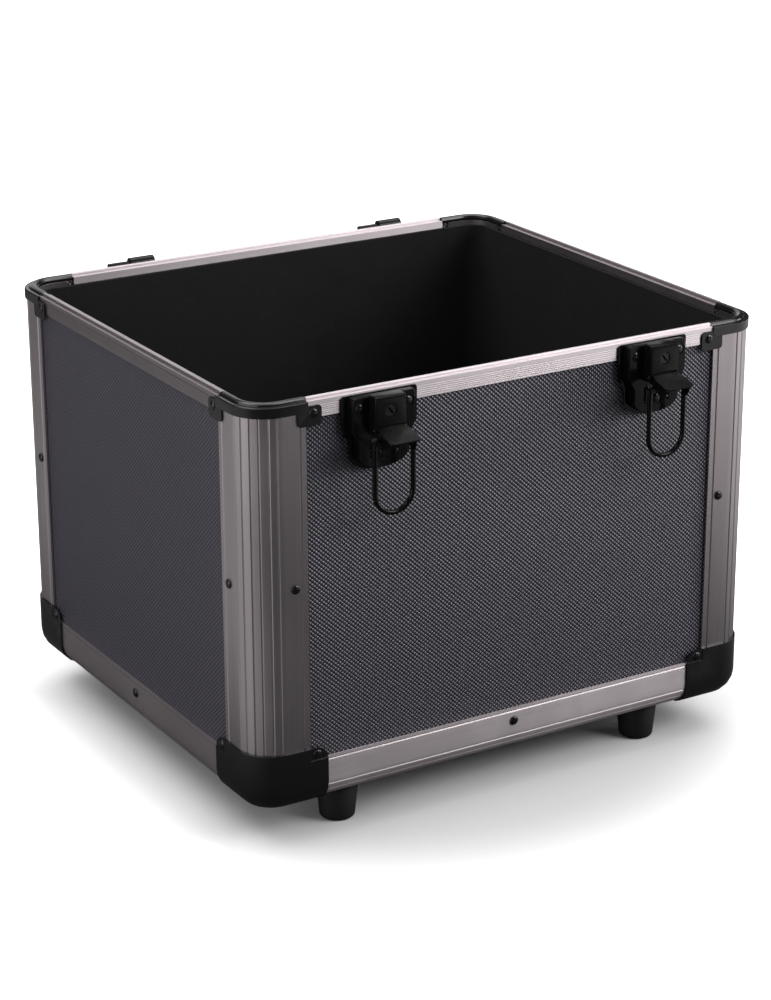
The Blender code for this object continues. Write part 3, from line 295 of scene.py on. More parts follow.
def node(tree, kind, settings=None, **inputs):
    """Adds a shader node, sets it up and feeds the inputs that are named or numbered."""
    made = tree.nodes.new("ShaderNode" + kind)
    for name, value in (settings or {}).items():
        setattr(made, name, value)
    for name, value in inputs.items():
        numbered = name[0] == "i" and name[1:].isdigit()
        key = int(name[1:]) if numbered else name.replace("_", " ")
        feed(tree, made.inputs[key], value)
    return made


def calc(tree, operation, *values):
    """Sum, product or other result of one Math node."""
    made = node(tree, "Math", {"operation": operation})
    for socket, value in zip(made.inputs, values):
        feed(tree, socket, value)
    return made.outputs[0]


def blend_colours(tree, factor, first, second):
    """Blend of two colours by a factor."""
    made = node(tree, "Mix", {"data_type": "RGBA"})
    feed(tree, made.inputs[0], factor)
    feed(tree, made.inputs[6], first)
    feed(tree, made.inputs[7], second)
    return made.outputs[2]


def spread(tree, value, low, high, to_low=0.0, to_high=1.0):
    """Soft step between two values."""
    made = node(tree, "MapRange", {"clamp": True, "interpolation_type": "SMOOTHSTEP"})
    for socket, number in zip(made.inputs, (value, low, high, to_low, to_high)):
        feed(tree, socket, number)
    return made.outputs[0]


def start_group(name, inputs, outputs):
    """Node group with number or vector inputs and number outputs: its tree and two end nodes."""
    tree = bpy.data.node_groups.new(name, "ShaderNodeTree")
    for label, kind, default in inputs:
        made = tree.interface.new_socket(name=label, in_out="INPUT", socket_type=kind)
        made.default_value = default
    for label in outputs:
        tree.interface.new_socket(name=label, in_out="OUTPUT", socket_type="NodeSocketFloat")
    return tree, tree.nodes.new("NodeGroupInput"), tree.nodes.new("NodeGroupOutput")


def diamond_emboss():
    """Pressed pattern of small four-sided points, drawn in the plane of each wall, with a mask for
    the painted shade in the valleys between them.
    """
    tree, given, made = start_group(
        "Diamond Emboss",
        (("Cell Width", "NodeSocketFloat", 0.003), ("Cell Height", "NodeSocketFloat", 0.003)),
        ("Height", "Valley"),
    )
    place = node(tree, "TexCoord")
    here = node(tree, "SeparateXYZ", i0=place.outputs["Object"]).outputs
    facing = node(tree, "SeparateXYZ", i0=place.outputs["Normal"]).outputs
    sideways = calc(tree, "GREATER_THAN", calc(tree, "ABSOLUTE", facing[0]), 0.5)
    flat = calc(tree, "GREATER_THAN", calc(tree, "ABSOLUTE", facing[2]), 0.5)

    def pick(which, first, second):
        mix = node(tree, "Mix", i0=which, i2=first, i3=second)
        return mix.outputs[0]

    across = calc(tree, "DIVIDE", pick(sideways, here[0], here[1]), given.outputs[0])
    up = calc(tree, "DIVIDE", pick(flat, here[2], here[1]), given.outputs[1])
    waves = []
    for operation in ("ADD", "SUBTRACT"):
        turn = calc(tree, "MULTIPLY", calc(tree, operation, across, up), math.pi)
        waves.append(calc(tree, "ABSOLUTE", calc(tree, "SINE", turn)))
    ridge = calc(tree, "MULTIPLY_ADD", waves[1], RIDGE_SHARE, 1 - RIDGE_SHARE)
    point = calc(tree, "MULTIPLY", waves[0], ridge)
    feed(tree, made.inputs["Height"], point)
    # Mask of the painted shade: 1 in the valleys, 0 on the points
    feed(tree, made.inputs["Valley"], spread(tree, point, *VALLEY_PAINTED_SHADE_STEP, 1.0, 0.0))
    return tree


def fine_grain():
    """Small irregular bumps of a moulded, coated or rubber surface, and paler flecks in it."""
    tree, given, made = start_group(
        "Fine Grain",
        (("Scale", "NodeSocketFloat", 900.0), ("Fleck Scale", "NodeSocketFloat", 60.0)),
        ("Height", "Fleck"),
    )
    place = node(tree, "TexCoord").outputs["Object"]
    grain = node(
        tree, "TexNoise", Vector=place, Scale=given.outputs[0], Detail=3.0, Roughness=0.55
    )
    fleck = node(
        tree, "TexNoise", Vector=place, Scale=given.outputs[1], Detail=5.0, Roughness=0.68
    )
    feed(tree, made.inputs["Height"], grain.outputs[0])
    feed(tree, made.inputs["Fleck"], spread(tree, fleck.outputs[0], *FLECK_STEP))
    return tree


def drawn_lines():
    """Fine lines that extruding and brushing leave along a profile."""
    tree, given, made = start_group(
        "Drawn Lines", (("Stretch", "NodeSocketVector", (1.0, 1.0, 1.0)),), ("Height", "Streak")
    )
    place = node(tree, "TexCoord").outputs["Object"]
    scaled = node(tree, "VectorMath", {"operation": "MULTIPLY"}, i0=place, i1=given.outputs[0])
    drawn = scaled.outputs[0]
    fine = node(tree, "TexNoise", Vector=drawn, Scale=2600.0, Detail=2.0, Roughness=0.6)
    broad = node(tree, "TexNoise", Vector=drawn, Scale=420.0, Detail=3.0, Roughness=0.6)
    feed(tree, made.inputs["Height"], fine.outputs[0])
    feed(tree, made.inputs["Streak"], broad.outputs[0])
    return tree


def handling_marks():
    """Smudges from hands, dust on what faces up, and rubbed edges."""
    tree, _, made = start_group("Handling Marks", (), ("Smudge", "Dust", "Rub"))
    place = node(tree, "TexCoord").outputs["Object"]
    cloud = node(tree, "TexNoise", Vector=place, Scale=14.0, Detail=5.0, Roughness=0.6)
    motes = node(tree, "TexNoise", Vector=place, Scale=900.0, Detail=2.0, Roughness=0.7)
    surface = node(tree, "NewGeometry")
    up = node(tree, "SeparateXYZ", i0=surface.outputs["Normal"]).outputs[2]
    edge = spread(tree, surface.outputs["Pointiness"], *EDGE_STEP)
    worn = spread(tree, cloud.outputs[0], *WORN_STEP)
    feed(tree, made.inputs["Smudge"], spread(tree, cloud.outputs[0], *SMUDGE_STEP))
    upward = spread(tree, up, *UPWARD_STEP)
    settled = calc(tree, "MULTIPLY", upward, spread(tree, motes.outputs[0], *MOTE_STEP))
    feed(tree, made.inputs["Dust"], settled)
    feed(tree, made.inputs["Rub"], calc(tree, "MULTIPLY", edge, worn))
    return tree


def use_group(tree, name, **inputs):
    """Places a shared node group and feeds its inputs."""
    made = tree.nodes.new("ShaderNodeGroup")
    made.node_tree = bpy.data.node_groups[name]
    for label, value in inputs.items():
        feed(tree, made.inputs[label.replace("_", " ")], value)
    return made


def new_material(name):
    """New material, its tree and its Principled shader."""
    material = bpy.data.materials.new(name)
    material.use_nodes = True
    tree = material.node_tree
    return material, tree, tree.nodes["Principled BSDF"]


def bump(tree, height, distance, strength, under=None):
    """Normal of a bumped surface, over another normal where one is given."""
    made = node(tree, "Bump", Strength=strength, Distance=distance, Height=height)
    if under is not None:
        feed(tree, made.inputs["Normal"], under)
    return made.outputs["Normal"]


def laminate_material(colours, sizes):
    """Embossed dark laminate with a painted highlight on its points, painted shade in its valleys
    and a little dust.
    """
    material, tree, shader = new_material("embossed laminate")
    emboss = use_group(
        tree, "Diamond Emboss", Cell_Width=sizes.cell_width, Cell_Height=sizes.cell_height
    )
    grain = use_group(tree, "Fine Grain", Scale=1500.0, Fleck_Scale=34.0)
    marks = use_group(tree, "Handling Marks")
    # Painted light: the pale points are a painted highlight and the dark valleys painted shade
    dark = tuple(value * VALLEY_PAINTED_SHADE for value in colours.laminate)
    pale = tuple(value * POINT_PAINTED_HIGHLIGHT for value in colours.laminate)
    base = blend_colours(tree, emboss.outputs["Valley"], pale, dark)
    dusty = calc(tree, "MULTIPLY", grain.outputs["Fleck"], 0.02)
    base = blend_colours(tree, dusty, base, tuple(colours.dust))
    feed(tree, shader.inputs["Base Color"], base)
    rough = spread(tree, marks.outputs["Smudge"], 0.0, 1.0, 0.31, 0.35)
    feed(tree, shader.inputs["Roughness"], rough)
    under = bump(tree, grain.outputs["Height"], 0.00001, 0.4)
    pressed = bump(tree, emboss.outputs["Height"], sizes.emboss, 1.0, under)
    feed(tree, shader.inputs["Normal"], pressed)
    shader.inputs["Specular IOR Level"].default_value = 0.8
    shader.inputs["Specular Tint"].default_value = (0.95, 0.93, 1.0, 1.0)
    return material


def anodised_material(name, colours, along, rough, stretch_share, painted_light_gain=1.0):
    """Warm grey anodised aluminium with drawn lines along one axis, 0, 1 or 2; a gain above 1 is
    painted light that makes a paler copy of the colour.
    """
    material, tree, shader = new_material(name)
    stretch = tuple(LINE_STRETCH if axis == along else 1.0 for axis in range(3))
    lines = use_group(tree, "Drawn Lines", Stretch=stretch)
    marks = use_group(tree, "Handling Marks")
    dark = tuple(value * painted_light_gain * STREAK_DARK for value in colours.anodised)
    pale = tuple(value * painted_light_gain * STREAK_PALE for value in colours.anodised)
    base = blend_colours(tree, lines.outputs["Streak"], dark, pale)
    dusty = calc(tree, "MULTIPLY", marks.outputs["Dust"], 0.12)
    base = blend_colours(tree, dusty, base, tuple(colours.dust))
    feed(tree, shader.inputs["Base Color"], base)
    worn = spread(tree, marks.outputs["Smudge"], 0.0, 1.0, rough, rough + 0.06)
    feed(tree, shader.inputs["Roughness"], worn)
    feed(tree, shader.inputs["Normal"], bump(tree, lines.outputs["Height"], 0.00001, 0.5))
    direction = tuple(1.0 if axis == along else 0.0 for axis in range(3))
    way = node(tree, "CombineXYZ", i0=direction[0], i1=direction[1], i2=direction[2])
    feed(tree, shader.inputs["Tangent"], way.outputs[0])
    shader.inputs["Metallic"].default_value = 1.0
    shader.inputs["Anisotropic"].default_value = stretch_share
    shader.inputs["Anisotropic Rotation"].default_value = 0.25
    return material


def grained_material(
    name, base, rough, scale, depth, dust_colour, wear=0.05, dust=0.03, metallic=0.0, shine=0.5
):
    """Dark finish with a fine grain, smudges, dust and rubbed edges."""
    material, tree, shader = new_material(name)
    grain = use_group(tree, "Fine Grain", Scale=scale, Fleck_Scale=70.0)
    marks = use_group(tree, "Handling Marks")
    pale = tuple(min(1.0, value * 1.6 + 0.003) for value in base)
    flecked = calc(tree, "MULTIPLY", grain.outputs["Fleck"], 0.5)
    tone = blend_colours(tree, flecked, base, pale)
    for mark, share in (("Rub", wear), ("Dust", dust)):
        tone = blend_colours(
            tree, calc(tree, "MULTIPLY", marks.outputs[mark], share), tone, dust_colour
        )
    feed(tree, shader.inputs["Base Color"], tone)
    smudged = spread(tree, marks.outputs["Smudge"], 0.0, 1.0, *rough)
    feed(tree, shader.inputs["Roughness"], smudged)
    feed(tree, shader.inputs["Normal"], bump(tree, grain.outputs["Height"], depth, 0.6))
    shader.inputs["Metallic"].default_value = metallic
    shader.inputs["Specular IOR Level"].default_value = shine
    return material


def make_materials(context):
    """All finishes of the case."""
    colours, sizes = context.scene.case_colours, context.scene.case_sizes
    for build in (diamond_emboss, fine_grain, drawn_lines, handling_marks):
        build()
    laminate_material(colours, sizes)
    anodised_material("anodised upright", colours, 2, 0.33, 0.4)
    # Painted light: base and rim profiles get paler copies of the same anodised colour for the
    # brighter light they catch
    for axis, way in enumerate(("across", "deep")):
        anodised_material(f"anodised base {way}", colours, axis, 0.46, 0.8, 1.05)
        anodised_material(f"anodised rim {way}", colours, axis, 0.4, 0.85, 1.2)
    for name, tone, rough, scale, depth, rest in GRAINED_FINISHES:
        base = tuple(getattr(colours, tone))
        grained_material(name, base, rough, scale, depth, tuple(colours.dust), **rest)


# Pieces

def add_piece(name, mesh, material, slot, body, *nodes):
    """Adds a piece that rides on a body and stands for the named nodes."""
    item = bpy.data.objects.new(name, mesh)
    bpy.context.scene.collection.objects.link(item)
    item.data.materials.clear()
    item.data.materials.append(bpy.data.materials[material])
    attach(item, body)
    if nodes:
        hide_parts(*nodes)
    return item


def welded_copy(node_name):
    """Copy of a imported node's mesh with its split corners welded and its flat faces whole."""
    work = bmesh.new()
    work.from_mesh(frame["nodes"][node_name].data)
    bmesh.ops.remove_doubles(work, verts=work.verts, dist=WELD_DISTANCE)
    bmesh.ops.dissolve_limit(
        work, angle_limit=math.radians(FLAT_ANGLE), verts=work.verts, edges=work.edges
    )
    mesh = bpy.data.meshes.new(node_name)
    work.to_mesh(mesh)
    work.free()
    if "custom_normal" in mesh.attributes:
        mesh.attributes.remove(mesh.attributes["custom_normal"])
    return mesh


def eased_piece(node_name, name, material, slot, edge, body="case", limit=MOULDED_ANGLE):
    """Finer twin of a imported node, with smooth curves and eased edges."""
    mesh = welded_copy(node_name)
    item = add_piece(name, mesh, material, slot, body, node_name)
    mesh.shade_smooth()
    mesh.set_sharp_from_angle(angle=math.radians(limit))
    easing = item.modifiers.new("Eased edges", "BEVEL")
    easing.width = edge
    easing.segments = EASING_SEGMENTS
    easing.limit_method = "ANGLE"
    easing.angle_limit = math.radians(limit)
    easing.harden_normals = True
    easing.use_clamp_overlap = True
    return item


def turned(profile, steps):
    """Closed mesh turned about Z from radii and heights that start and end on the axis."""
    work = bmesh.new()
    rings = []
    for radius, height in profile:
        if radius < 1e-9:
            rings.append([work.verts.new((0, 0, height))])
            continue
        round_points = []
        for step in range(steps):
            angle = 2 * math.pi * step / steps
            x, y = radius * math.cos(angle), radius * math.sin(angle)
            round_points.append(work.verts.new((x, y, height)))
        rings.append(round_points)
    for one, other in zip(rings, rings[1:]):
        for step in range(steps):
            after = (step + 1) % steps
            corners = [one[step % len(one)], one[after % len(one)]]
            corners += [other[after % len(other)], other[step % len(other)]]
            work.faces.new(list(dict.fromkeys(corners)))
    bmesh.ops.recalc_face_normals(work, faces=work.faces)
    return work


def quarter_round():
    """Angles of a quarter turn, in even steps."""
    return [math.pi / 2 * step / ARC_STEPS for step in range(ARC_STEPS + 1)]


def wall_frame(index):
    """Frame of a wall: X to the right as seen from outside, Y inward, Z up from the floor."""
    half_x, half_y = CASE_HALF_WIDTH, CASE_HALF_DEPTH
    x, y = ((0, -half_y), (half_x, 0), (0, half_y), (-half_x, 0))[index]
    turn = Matrix.Rotation(index * math.pi / 2, 4, "Z")
    return Matrix.Translation((x, CASE_MIDDLE_Y + y, 0)) @ turn


def outward(x, out, z):
    """Place inside a wall's frame of a turned piece whose own Z points out of the wall."""
    return Matrix.Translation((x, -out, z)) @ Matrix.Rotation(math.pi / 2, 4, "X")


def rivet_places():
    """Frames of all rivet heads on the walls, the latch plates and the hinge leaves."""
    places = []
    for index in range(4):
        half = (CASE_HALF_WIDTH, CASE_HALF_DEPTH)[index % 2]
        for inset, height, seat in WALL_RIVETS:
            for sign in (-1, 1):
                places.append(wall_frame(index) @ outward(sign * (half - inset), seat, height))
        places.append(wall_frame(index) @ outward(0, BASE_RIVET_SEAT, BASE_RIVET_HEIGHT))
    for index, rows in ((0, PLATE_RIVETS), (2, LEAF_RIVETS)):
        for sign in (-1, 1):
            for across, height, seat in rows:
                x = sign * LATCH_X + across
                places.append(wall_frame(index) @ outward(x, seat, PANEL_TOP + height))
    return places


def joined(parts, name):
    """One smooth mesh of several meshes, each with its own place."""
    whole = bmesh.new()
    for work, place in parts:
        mesh = bpy.data.meshes.new("part")
        work.to_mesh(mesh)
        mesh.transform(place)
        whole.from_mesh(mesh)
        bpy.data.meshes.remove(mesh)
    mesh = bpy.data.meshes.new(name)
    whole.to_mesh(mesh)
    whole.free()
    mesh.shade_smooth()
    return mesh


def wire(route, radius, steps):
    """Closed round wire along points that lie in the plane of X and Z."""
    work = bmesh.new()
    rings = []
    for number, point in enumerate(route):
        ahead = route[min(number + 1, len(route) - 1)] - route[max(number - 1, 0)]
        ahead.normalize()
        side = Vector((0, 1, 0))
        other = ahead.cross(side)
        round_points = []
        for step in range(steps):
            angle = 2 * math.pi * step / steps
            offset = side * math.cos(angle) + other * math.sin(angle)
            round_points.append(work.verts.new(point + offset * radius))
        rings.append(round_points)
    for one, two in zip(rings, rings[1:]):
        for step in range(steps):
            after = (step + 1) % steps
            work.faces.new((one[step], one[after], two[after], two[step]))
    work.faces.new(rings[0])
    work.faces.new(rings[-1])
    bmesh.ops.recalc_face_normals(work, faces=work.faces)
    return work


def ring(middle, inner, outer, half, steps):
    """Flat ring about the X axis with slightly rounded rims, as a rolled eye."""
    work = bmesh.new()
    ease = (outer - inner) * EYE_EASE
    inner_ease = ease * EYE_EASE
    section = [
        (inner, -half + inner_ease), (inner, half - inner_ease),
        (inner + inner_ease, half), (outer - ease, half),
        (outer, half - ease), (outer, -half + ease),
        (outer - ease, -half), (inner + inner_ease, -half),
    ]
    rings = []
    for step in range(steps):
        angle = 2 * math.pi * step / steps
        rings.append([
            work.verts.new((middle + along, radius * math.cos(angle), radius * math.sin(angle)))
            for radius, along in section
        ])
    for step in range(steps):
        one, two = rings[step], rings[(step + 1) % steps]
        for number in range(len(section)):
            after = (number + 1) % len(section)
            work.faces.new((one[number], one[after], two[after], two[number]))
    bmesh.ops.recalc_face_normals(work, faces=work.faces)
    return work


class CASE_OT_finishes(bpy.types.Operator):
    """Make the finishes of the case"""

    bl_idname = "case.finishes"
    bl_label = "Finishes"

    def execute(self, context):
        make_materials(context)
        return {"FINISHED"}


class CASE_OT_panels(bpy.types.Operator):
    """Dress the wall panels and the base panel in embossed laminate"""

    bl_idname = "case.panels"
    bl_label = "Panels"

    def execute(self, context):
        edge = context.scene.case_sizes.panel_edge
        walls = [(f"{side}_panel", f"{side}_wall") for side in SIDES]
        for node_name, name in (*walls, ("base_panel", "case_bottom")):
            eased_piece(node_name, name, "embossed laminate", "panel_laminate", edge)
        return {"FINISHED"}


class CASE_OT_profiles(bpy.types.Operator):
    """Ease the edges of the upright, rim and base profiles and give them drawn lines"""

    bl_idname = "case.profiles"
    bl_label = "Profiles"

    def execute(self, context):
        edge = context.scene.case_sizes.metal_edge
        rows = [
            (f"corner_profile_{corner}", f"upright_{corner}", "anodised upright")
            for corner in CORNERS
        ]
        for index, side in enumerate(SIDES):
            way = ("across", "deep")[index % 2]
            rows.append((f"rim_{side}", f"rim_profile_{side}", f"anodised rim {way}"))
            rows.append((f"base_profile_{side}", f"base_edge_{side}", f"anodised base {way}"))
        for node_name, name, finish in rows:
            eased_piece(
                node_name, name, finish, "profile_aluminium", edge, limit=PROFILE_ANGLE
            )
        return {"FINISHED"}


class CASE_OT_mouldings(bpy.types.Operator):
    """Dress the top caps and the ball corners"""

    bl_idname = "case.mouldings"
    bl_label = "Mouldings"

    def execute(self, context):
        edge = context.scene.case_sizes.plastic_edge
        for corner in CORNERS:
            for kind, word in (("top_cap", "cap"), ("ball_corner", "shoe")):
                eased_piece(
                    f"{kind}_{corner}", f"{word}_{corner}", "satin moulding", "corner_plastic",
                    edge,
                )
        return {"FINISHED"}


class CASE_OT_rivets(bpy.types.Operator):
    """Turn the domed heads of all rivets"""

    bl_idname = "case.rivets"
    bl_label = "Rivets"

    def execute(self, context):
        sizes = context.scene.case_sizes
        radius, height = sizes.rivet_radius, sizes.rivet_height
        profile = [
            (radius * math.sin(angle), height * math.cos(angle)) for angle in quarter_round()
        ]
        profile += [(radius * RIVET_SKIRT, -RIVET_SINK), (0, -RIVET_SINK)]
        head = turned(profile, RIVET_SIDES)
        mesh = joined([(head, place) for place in rivet_places()], "rivet_heads")
        loose = [name for name in frame["nodes"] if "rivet" in name]
        add_piece("rivet_heads", mesh, "glossy rivet", "rivet_black", "case", *loose)
        return {"FINISHED"}


class CASE_OT_feet(bpy.types.Operator):
    """Turn the rubber feet with a rounded lower edge"""

    bl_idname = "case.feet"
    bl_label = "Feet"

    def execute(self, context):
        profile = [
            (0, FOOT_TOP), (FOOT_TOP_FLAT, FOOT_TOP), (FOOT_TOP_RADIUS, FOOT_TOP - FOOT_TOP_EASE),
        ]
        for angle in quarter_round():
            out, drop = FOOT_EDGE * math.cos(angle), FOOT_EDGE * math.sin(angle)
            profile.append((FOOT_SOLE_RADIUS + out, FOOT_EDGE - drop))
        profile += [
            (FOOT_HOLLOW_RIM, 0.0), (FOOT_HOLLOW_RADIUS, FOOT_HOLLOW_DEPTH),
            (0.0, FOOT_HOLLOW_DEPTH),
        ]
        for corner in CORNERS:
            name = f"foot_{corner}"
            low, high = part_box(name)
            middle = (low + high) / 2
            place = Matrix.Translation((middle.x, middle.y, 0))
            mesh = joined([(turned(profile, FOOT_SIDES), place)], name)
            mesh.set_sharp_from_angle(angle=math.radians(TURNED_ANGLE))
            add_piece(f"rubber_{name}", mesh, "black rubber", "foot_rubber", "case", name)
        return {"FINISHED"}


class CASE_OT_lining(bpy.types.Operator):
    """Line the inside with foam"""

    bl_idname = "case.lining"
    bl_label = "Lining"

    def execute(self, context):
        foams = (("wall_lining", "foam_round_walls"), ("floor_pad", "foam_on_floor"))
        for node_name, name in foams:
            eased_piece(node_name, name, "foam lining", "lining_foam", FOAM_EDGE)
        return {"FINISHED"}


class CASE_OT_latches(bpy.types.Operator):
    """Dress the latch plates, lock housings and levers"""

    bl_idname = "case.latches"
    bl_label = "Latches"

    def execute(self, context):
        edge = context.scene.case_sizes.latch_edge
        for side in ("left", "right"):
            for part, body in (("plate", "case"), ("housing", "case"), ("lever", f"{side}_lever")):
                eased_piece(
                    f"latch_{side}_{part}", f"{side}_draw_{part}", "black coating", "latch_black",
                    edge, body, limit=PRESSED_ANGLE,
                )
        return {"FINISHED"}


class CASE_OT_pins(bpy.types.Operator):
    """Dress the pivot pins, bail pins and key barrels"""

    bl_idname = "case.pins"
    bl_label = "Pins and key barrels"

    def execute(self, context):
        for side in ("left", "right"):
            for part in ("pivot_pin", "bail_pin", "key_barrel"):
                name = f"latch_{side}_{part}"
                body = frame["nodes"][name]["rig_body"]
                eased_piece(
                    name, f"{side}_{part}_steel", "blackened steel", "pin_steel", PIN_EDGE, body
                )
        return {"FINISHED"}


class CASE_OT_bails(bpy.types.Operator):
    """Bend the wire bails with a rolled eye at each end"""

    bl_idname = "case.bails"
    bl_label = "Bails"

    def execute(self, context):
        radius = context.scene.case_sizes.wire_radius
        heights = [-LEG_START - step * LEG_STEP for step in range(LEG_POINTS)]
        route = [Vector((-BAIL_HALF_WIDTH, 0, height)) for height in heights]
        for step in range(BEND_STEPS + 1):
            angle = math.pi * (1 + step / BEND_STEPS)
            x, z = BAIL_HALF_WIDTH * math.cos(angle), BAIL_HALF_WIDTH * math.sin(angle)
            route.append(Vector((x, 0, -BEND_START + z)))
        route += [Vector((BAIL_HALF_WIDTH, 0, height)) for height in reversed(heights)]
        for side, sign in (("left", -1), ("right", 1)):
            name = f"latch_{side}_bail"
            place = Matrix.Translation((sign * LATCH_X, BAIL_PIN_Y, BAIL_PIN_Z))
            parts = [(wire(route, radius, WIRE_SIDES), place)]
            for hand in (-1, 1):
                eye = ring(BAIL_HALF_WIDTH * hand, EYE_INNER, EYE_OUTER, radius, EYE_SIDES)
                parts.append((eye, place))
            mesh = joined(parts, name)
            mesh.set_sharp_from_angle(angle=math.radians(TURNED_ANGLE))
            add_piece(
                f"{side}_wire_bail", mesh, "black coating", "latch_black", f"{side}_bail", name
            )
        return {"FINISHED"}


class CASE_OT_hinges(bpy.types.Operator):
    """Dress the lift-off hinge halves at the back"""

    bl_idname = "case.hinges"
    bl_label = "Hinges"

    def execute(self, context):
        edge = context.scene.case_sizes.latch_edge
        for side in ("left", "right"):
            eased_piece(
                f"hinge_leaf_{side}", f"{side}_hinge", "black coating", "latch_black", edge
            )
        return {"FINISHED"}


# Studio

def add_floor(scene):
    """Pale floor. To the camera it glows white away from the case and at the left, a painted light
    that narrows the shade around the case; to reflections it is dark, with painted light at the
    left and right.
    """
    work = bmesh.new()
    bmesh.ops.create_grid(work, x_segments=1, y_segments=1, size=FLOOR_HALF)
    mesh = bpy.data.meshes.new("floor")
    work.to_mesh(mesh)
    work.free()
    floor = bpy.data.objects.new("floor", mesh)
    scene.collection.objects.link(floor)
    material, tree, shader = new_material("pale floor")
    cloud = node(tree, "TexNoise", Scale=1.5, Detail=2.0)
    pale = tuple(scene.case_colours.floor)
    clouded = tuple(value * FLOOR_CLOUD_SHADE for value in pale)
    tone = blend_colours(tree, cloud.outputs[0], pale, clouded)
    seen = node(tree, "LightPath").outputs["Is Camera Ray"]
    place = node(tree, "TexCoord").outputs["Object"]
    x, y, _ = node(tree, "SeparateXYZ", i0=place).outputs
    # Painted light seen only by reflections and bounces: brighter patches of floor at the left and
    # right
    left = calc(
        tree, "MULTIPLY", spread(tree, x, *FLOOR_LEFT_X), spread(tree, y, *FLOOR_LEFT_Y)
    )
    left = calc(tree, "MULTIPLY", left, spread(tree, y, *FLOOR_LEFT_BACK))
    left = calc(tree, "MULTIPLY", left, FLOOR_LEFT_PAINTED_LIGHT)
    right = calc(tree, "MULTIPLY", spread(tree, x, *FLOOR_RIGHT_X), FLOOR_RIGHT_PAINTED_LIGHT)
    painted_reflection_tone = calc(tree, "ADD", calc(tree, "ADD", left, right), FLOOR_LEAST_TONE)
    feed(tree, shader.inputs["Base Color"], blend_colours(tree, seen, painted_reflection_tone, tone))
    reach = node(tree, "VectorMath", {"operation": "LENGTH"}, i0=place).outputs["Value"]
    # Painted light: the floor glows white to the camera away from the case and at the left, which
    # narrows the shade around it
    white = calc(
        tree, "MAXIMUM", spread(tree, reach, *PAINTED_GLOW_REACH), spread(tree, x, *PAINTED_GLOW_LEFT)
    )
    glow = calc(tree, "MULTIPLY", white, FLOOR_GLOW)
    feed(tree, shader.inputs["Emission Color"], blend_colours(tree, seen, BLACK, glow))
    shader.inputs["Emission Strength"].default_value = 1.0
    shader.inputs["Roughness"].default_value = 0.8
    shader.inputs["Specular IOR Level"].default_value = 0.1
    mesh.materials.append(material)


def add_dome(scene, studio):
    """Dome with a bright ceiling over a dark room, plain white to the camera."""
    world = bpy.data.worlds.new("studio")
    scene.world = world
    world.use_nodes = True
    tree = world.node_tree
    background = tree.nodes["Background"].inputs
    seen = node(tree, "LightPath").outputs["Is Camera Ray"]
    _, y, z = node(tree, "SeparateXYZ", i0=node(tree, "TexCoord").outputs["Generated"]).outputs
    above = spread(tree, z, studio.sky_low, studio.sky_high)
    above = calc(tree, "MULTIPLY", above, spread(tree, y, *CEILING_DEPTH))
    above = calc(tree, "MULTIPLY", above, spread(tree, z, *CEILING_ZENITH))
    dome = blend_colours(tree, above, DOME_DARK, DOME_PALE)
    feed(tree, background["Color"], blend_colours(tree, seen, dome, WHITE))
    ceiling = calc(tree, "MULTIPLY", above, studio.sky_power - 1.0)
    backdrop = calc(tree, "MULTIPLY", seen, BACKDROP_STRENGTH)
    strength = calc(tree, "MAXIMUM", calc(tree, "ADD", ceiling, 1.0), backdrop)
    feed(tree, background["Strength"], strength)
    scene.view_settings.view_transform = "Standard"


def add_softbox(scene, name, place, size, watts):
    """Area light at a place, turned to the middle of the case."""
    data = bpy.data.lights.new(name, "AREA")
    data.shape = "RECTANGLE"
    data.size, data.size_y = size
    data.energy = watts
    item = bpy.data.objects.new(name, data)
    scene.collection.objects.link(item)
    item.location = place
    item.rotation_mode = "QUATERNION"
    aim = Vector((0.0, CASE_MIDDLE_Y, AIM_HEIGHT)) - Vector(place)
    item.rotation_quaternion = aim.to_track_quat("-Z", "Y")


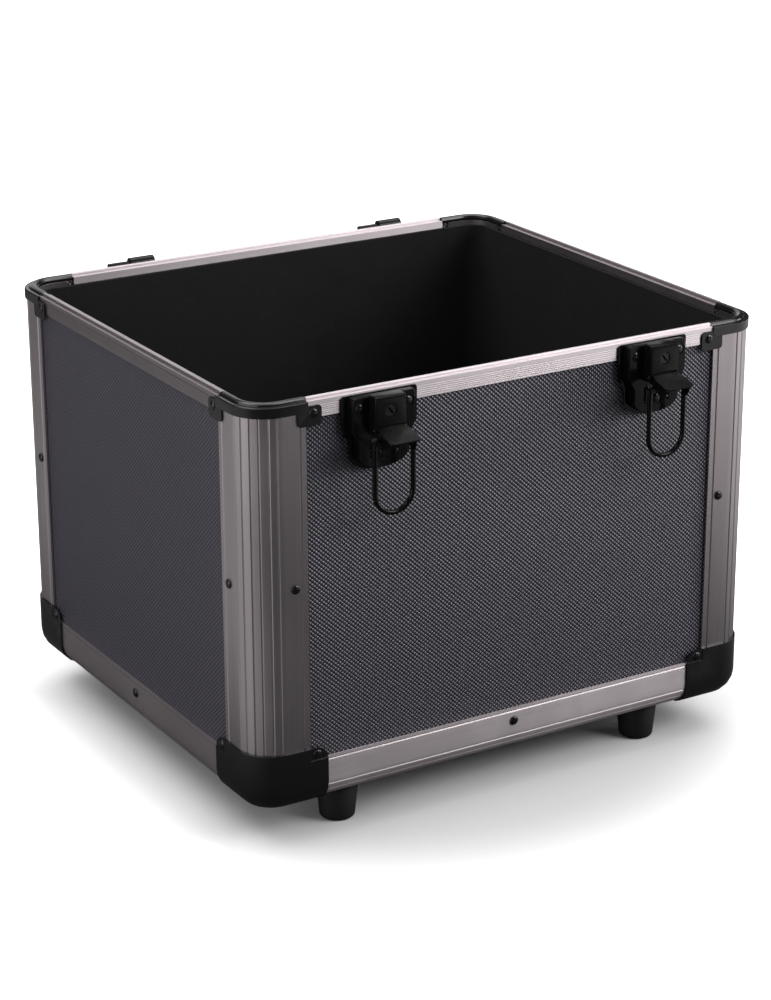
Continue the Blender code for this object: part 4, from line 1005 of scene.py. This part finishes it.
def add_camera(scene, lens):
    """Camera at the photograph's viewing angle."""
    data = bpy.data.cameras.new("camera")
    data.lens = lens
    data.sensor_width = SENSOR_WIDTH
    camera = bpy.data.objects.new("camera", data)
    scene.collection.objects.link(camera)
    turn = Matrix.Rotation(math.radians(CAMERA_TURN), 4, "Z")
    tilt = Matrix.Rotation(math.radians(90 - CAMERA_DOWN), 4, "X")
    roll = Matrix.Rotation(CAMERA_ROLL, 4, "Z")
    camera.matrix_world = Matrix.Translation(CAMERA_PLACE) @ turn @ tilt @ roll
    scene.camera = camera


class CASE_OT_studio(bpy.types.Operator):
    """Set the pale floor, the soft lights and the camera"""

    bl_idname = "case.studio"
    bl_label = "Studio"

    def execute(self, context):
        scene, studio = context.scene, context.scene.case_studio
        add_floor(scene)
        add_dome(scene, studio)
        for name, place, size in SOFTBOXES:
            add_softbox(scene, name, place, size, getattr(studio, name))
        add_camera(scene, studio.lens)
        return {"FINISHED"}


STEPS = (
    CASE_OT_finishes,
    CASE_OT_panels,
    CASE_OT_profiles,
    CASE_OT_mouldings,
    CASE_OT_rivets,
    CASE_OT_feet,
    CASE_OT_lining,
    CASE_OT_latches,
    CASE_OT_pins,
    CASE_OT_bails,
    CASE_OT_hinges,
    CASE_OT_studio,
)


class CASE_PT_panel(bpy.types.Panel):
    """Lists the steps that dress the case"""

    bl_idname = "CASE_PT_panel"
    bl_label = "Record Case"
    bl_space_type = "VIEW_3D"
    bl_region_type = "UI"
    bl_category = "Case"

    def draw(self, context):
        for step in STEPS:
            self.layout.operator(step.bl_idname)
        for group in ("case_colours", "case_sizes", "case_studio"):
            values = getattr(context.scene, group)
            box = self.layout.box()
            for name in values.__annotations__:
                box.prop(values, name)


CLASSES = (CaseColours, CaseSizes, CaseStudio, *STEPS, CASE_PT_panel)


def register():
    for item in CLASSES:
        bpy.utils.register_class(item)
    bpy.types.Scene.case_colours = bpy.props.PointerProperty(type=CaseColours)
    bpy.types.Scene.case_sizes = bpy.props.PointerProperty(type=CaseSizes)
    bpy.types.Scene.case_studio = bpy.props.PointerProperty(type=CaseStudio)


def unregister():
    for name in ("case_colours", "case_sizes", "case_studio"):
        delattr(bpy.types.Scene, name)
    for item in reversed(CLASSES):
        bpy.utils.unregister_class(item)


def main():
    register()
    for step in STEPS:
        space, name = step.bl_idname.split(".")
        getattr(getattr(bpy.ops, space), name)()


if __name__ == "__main__":
    main()
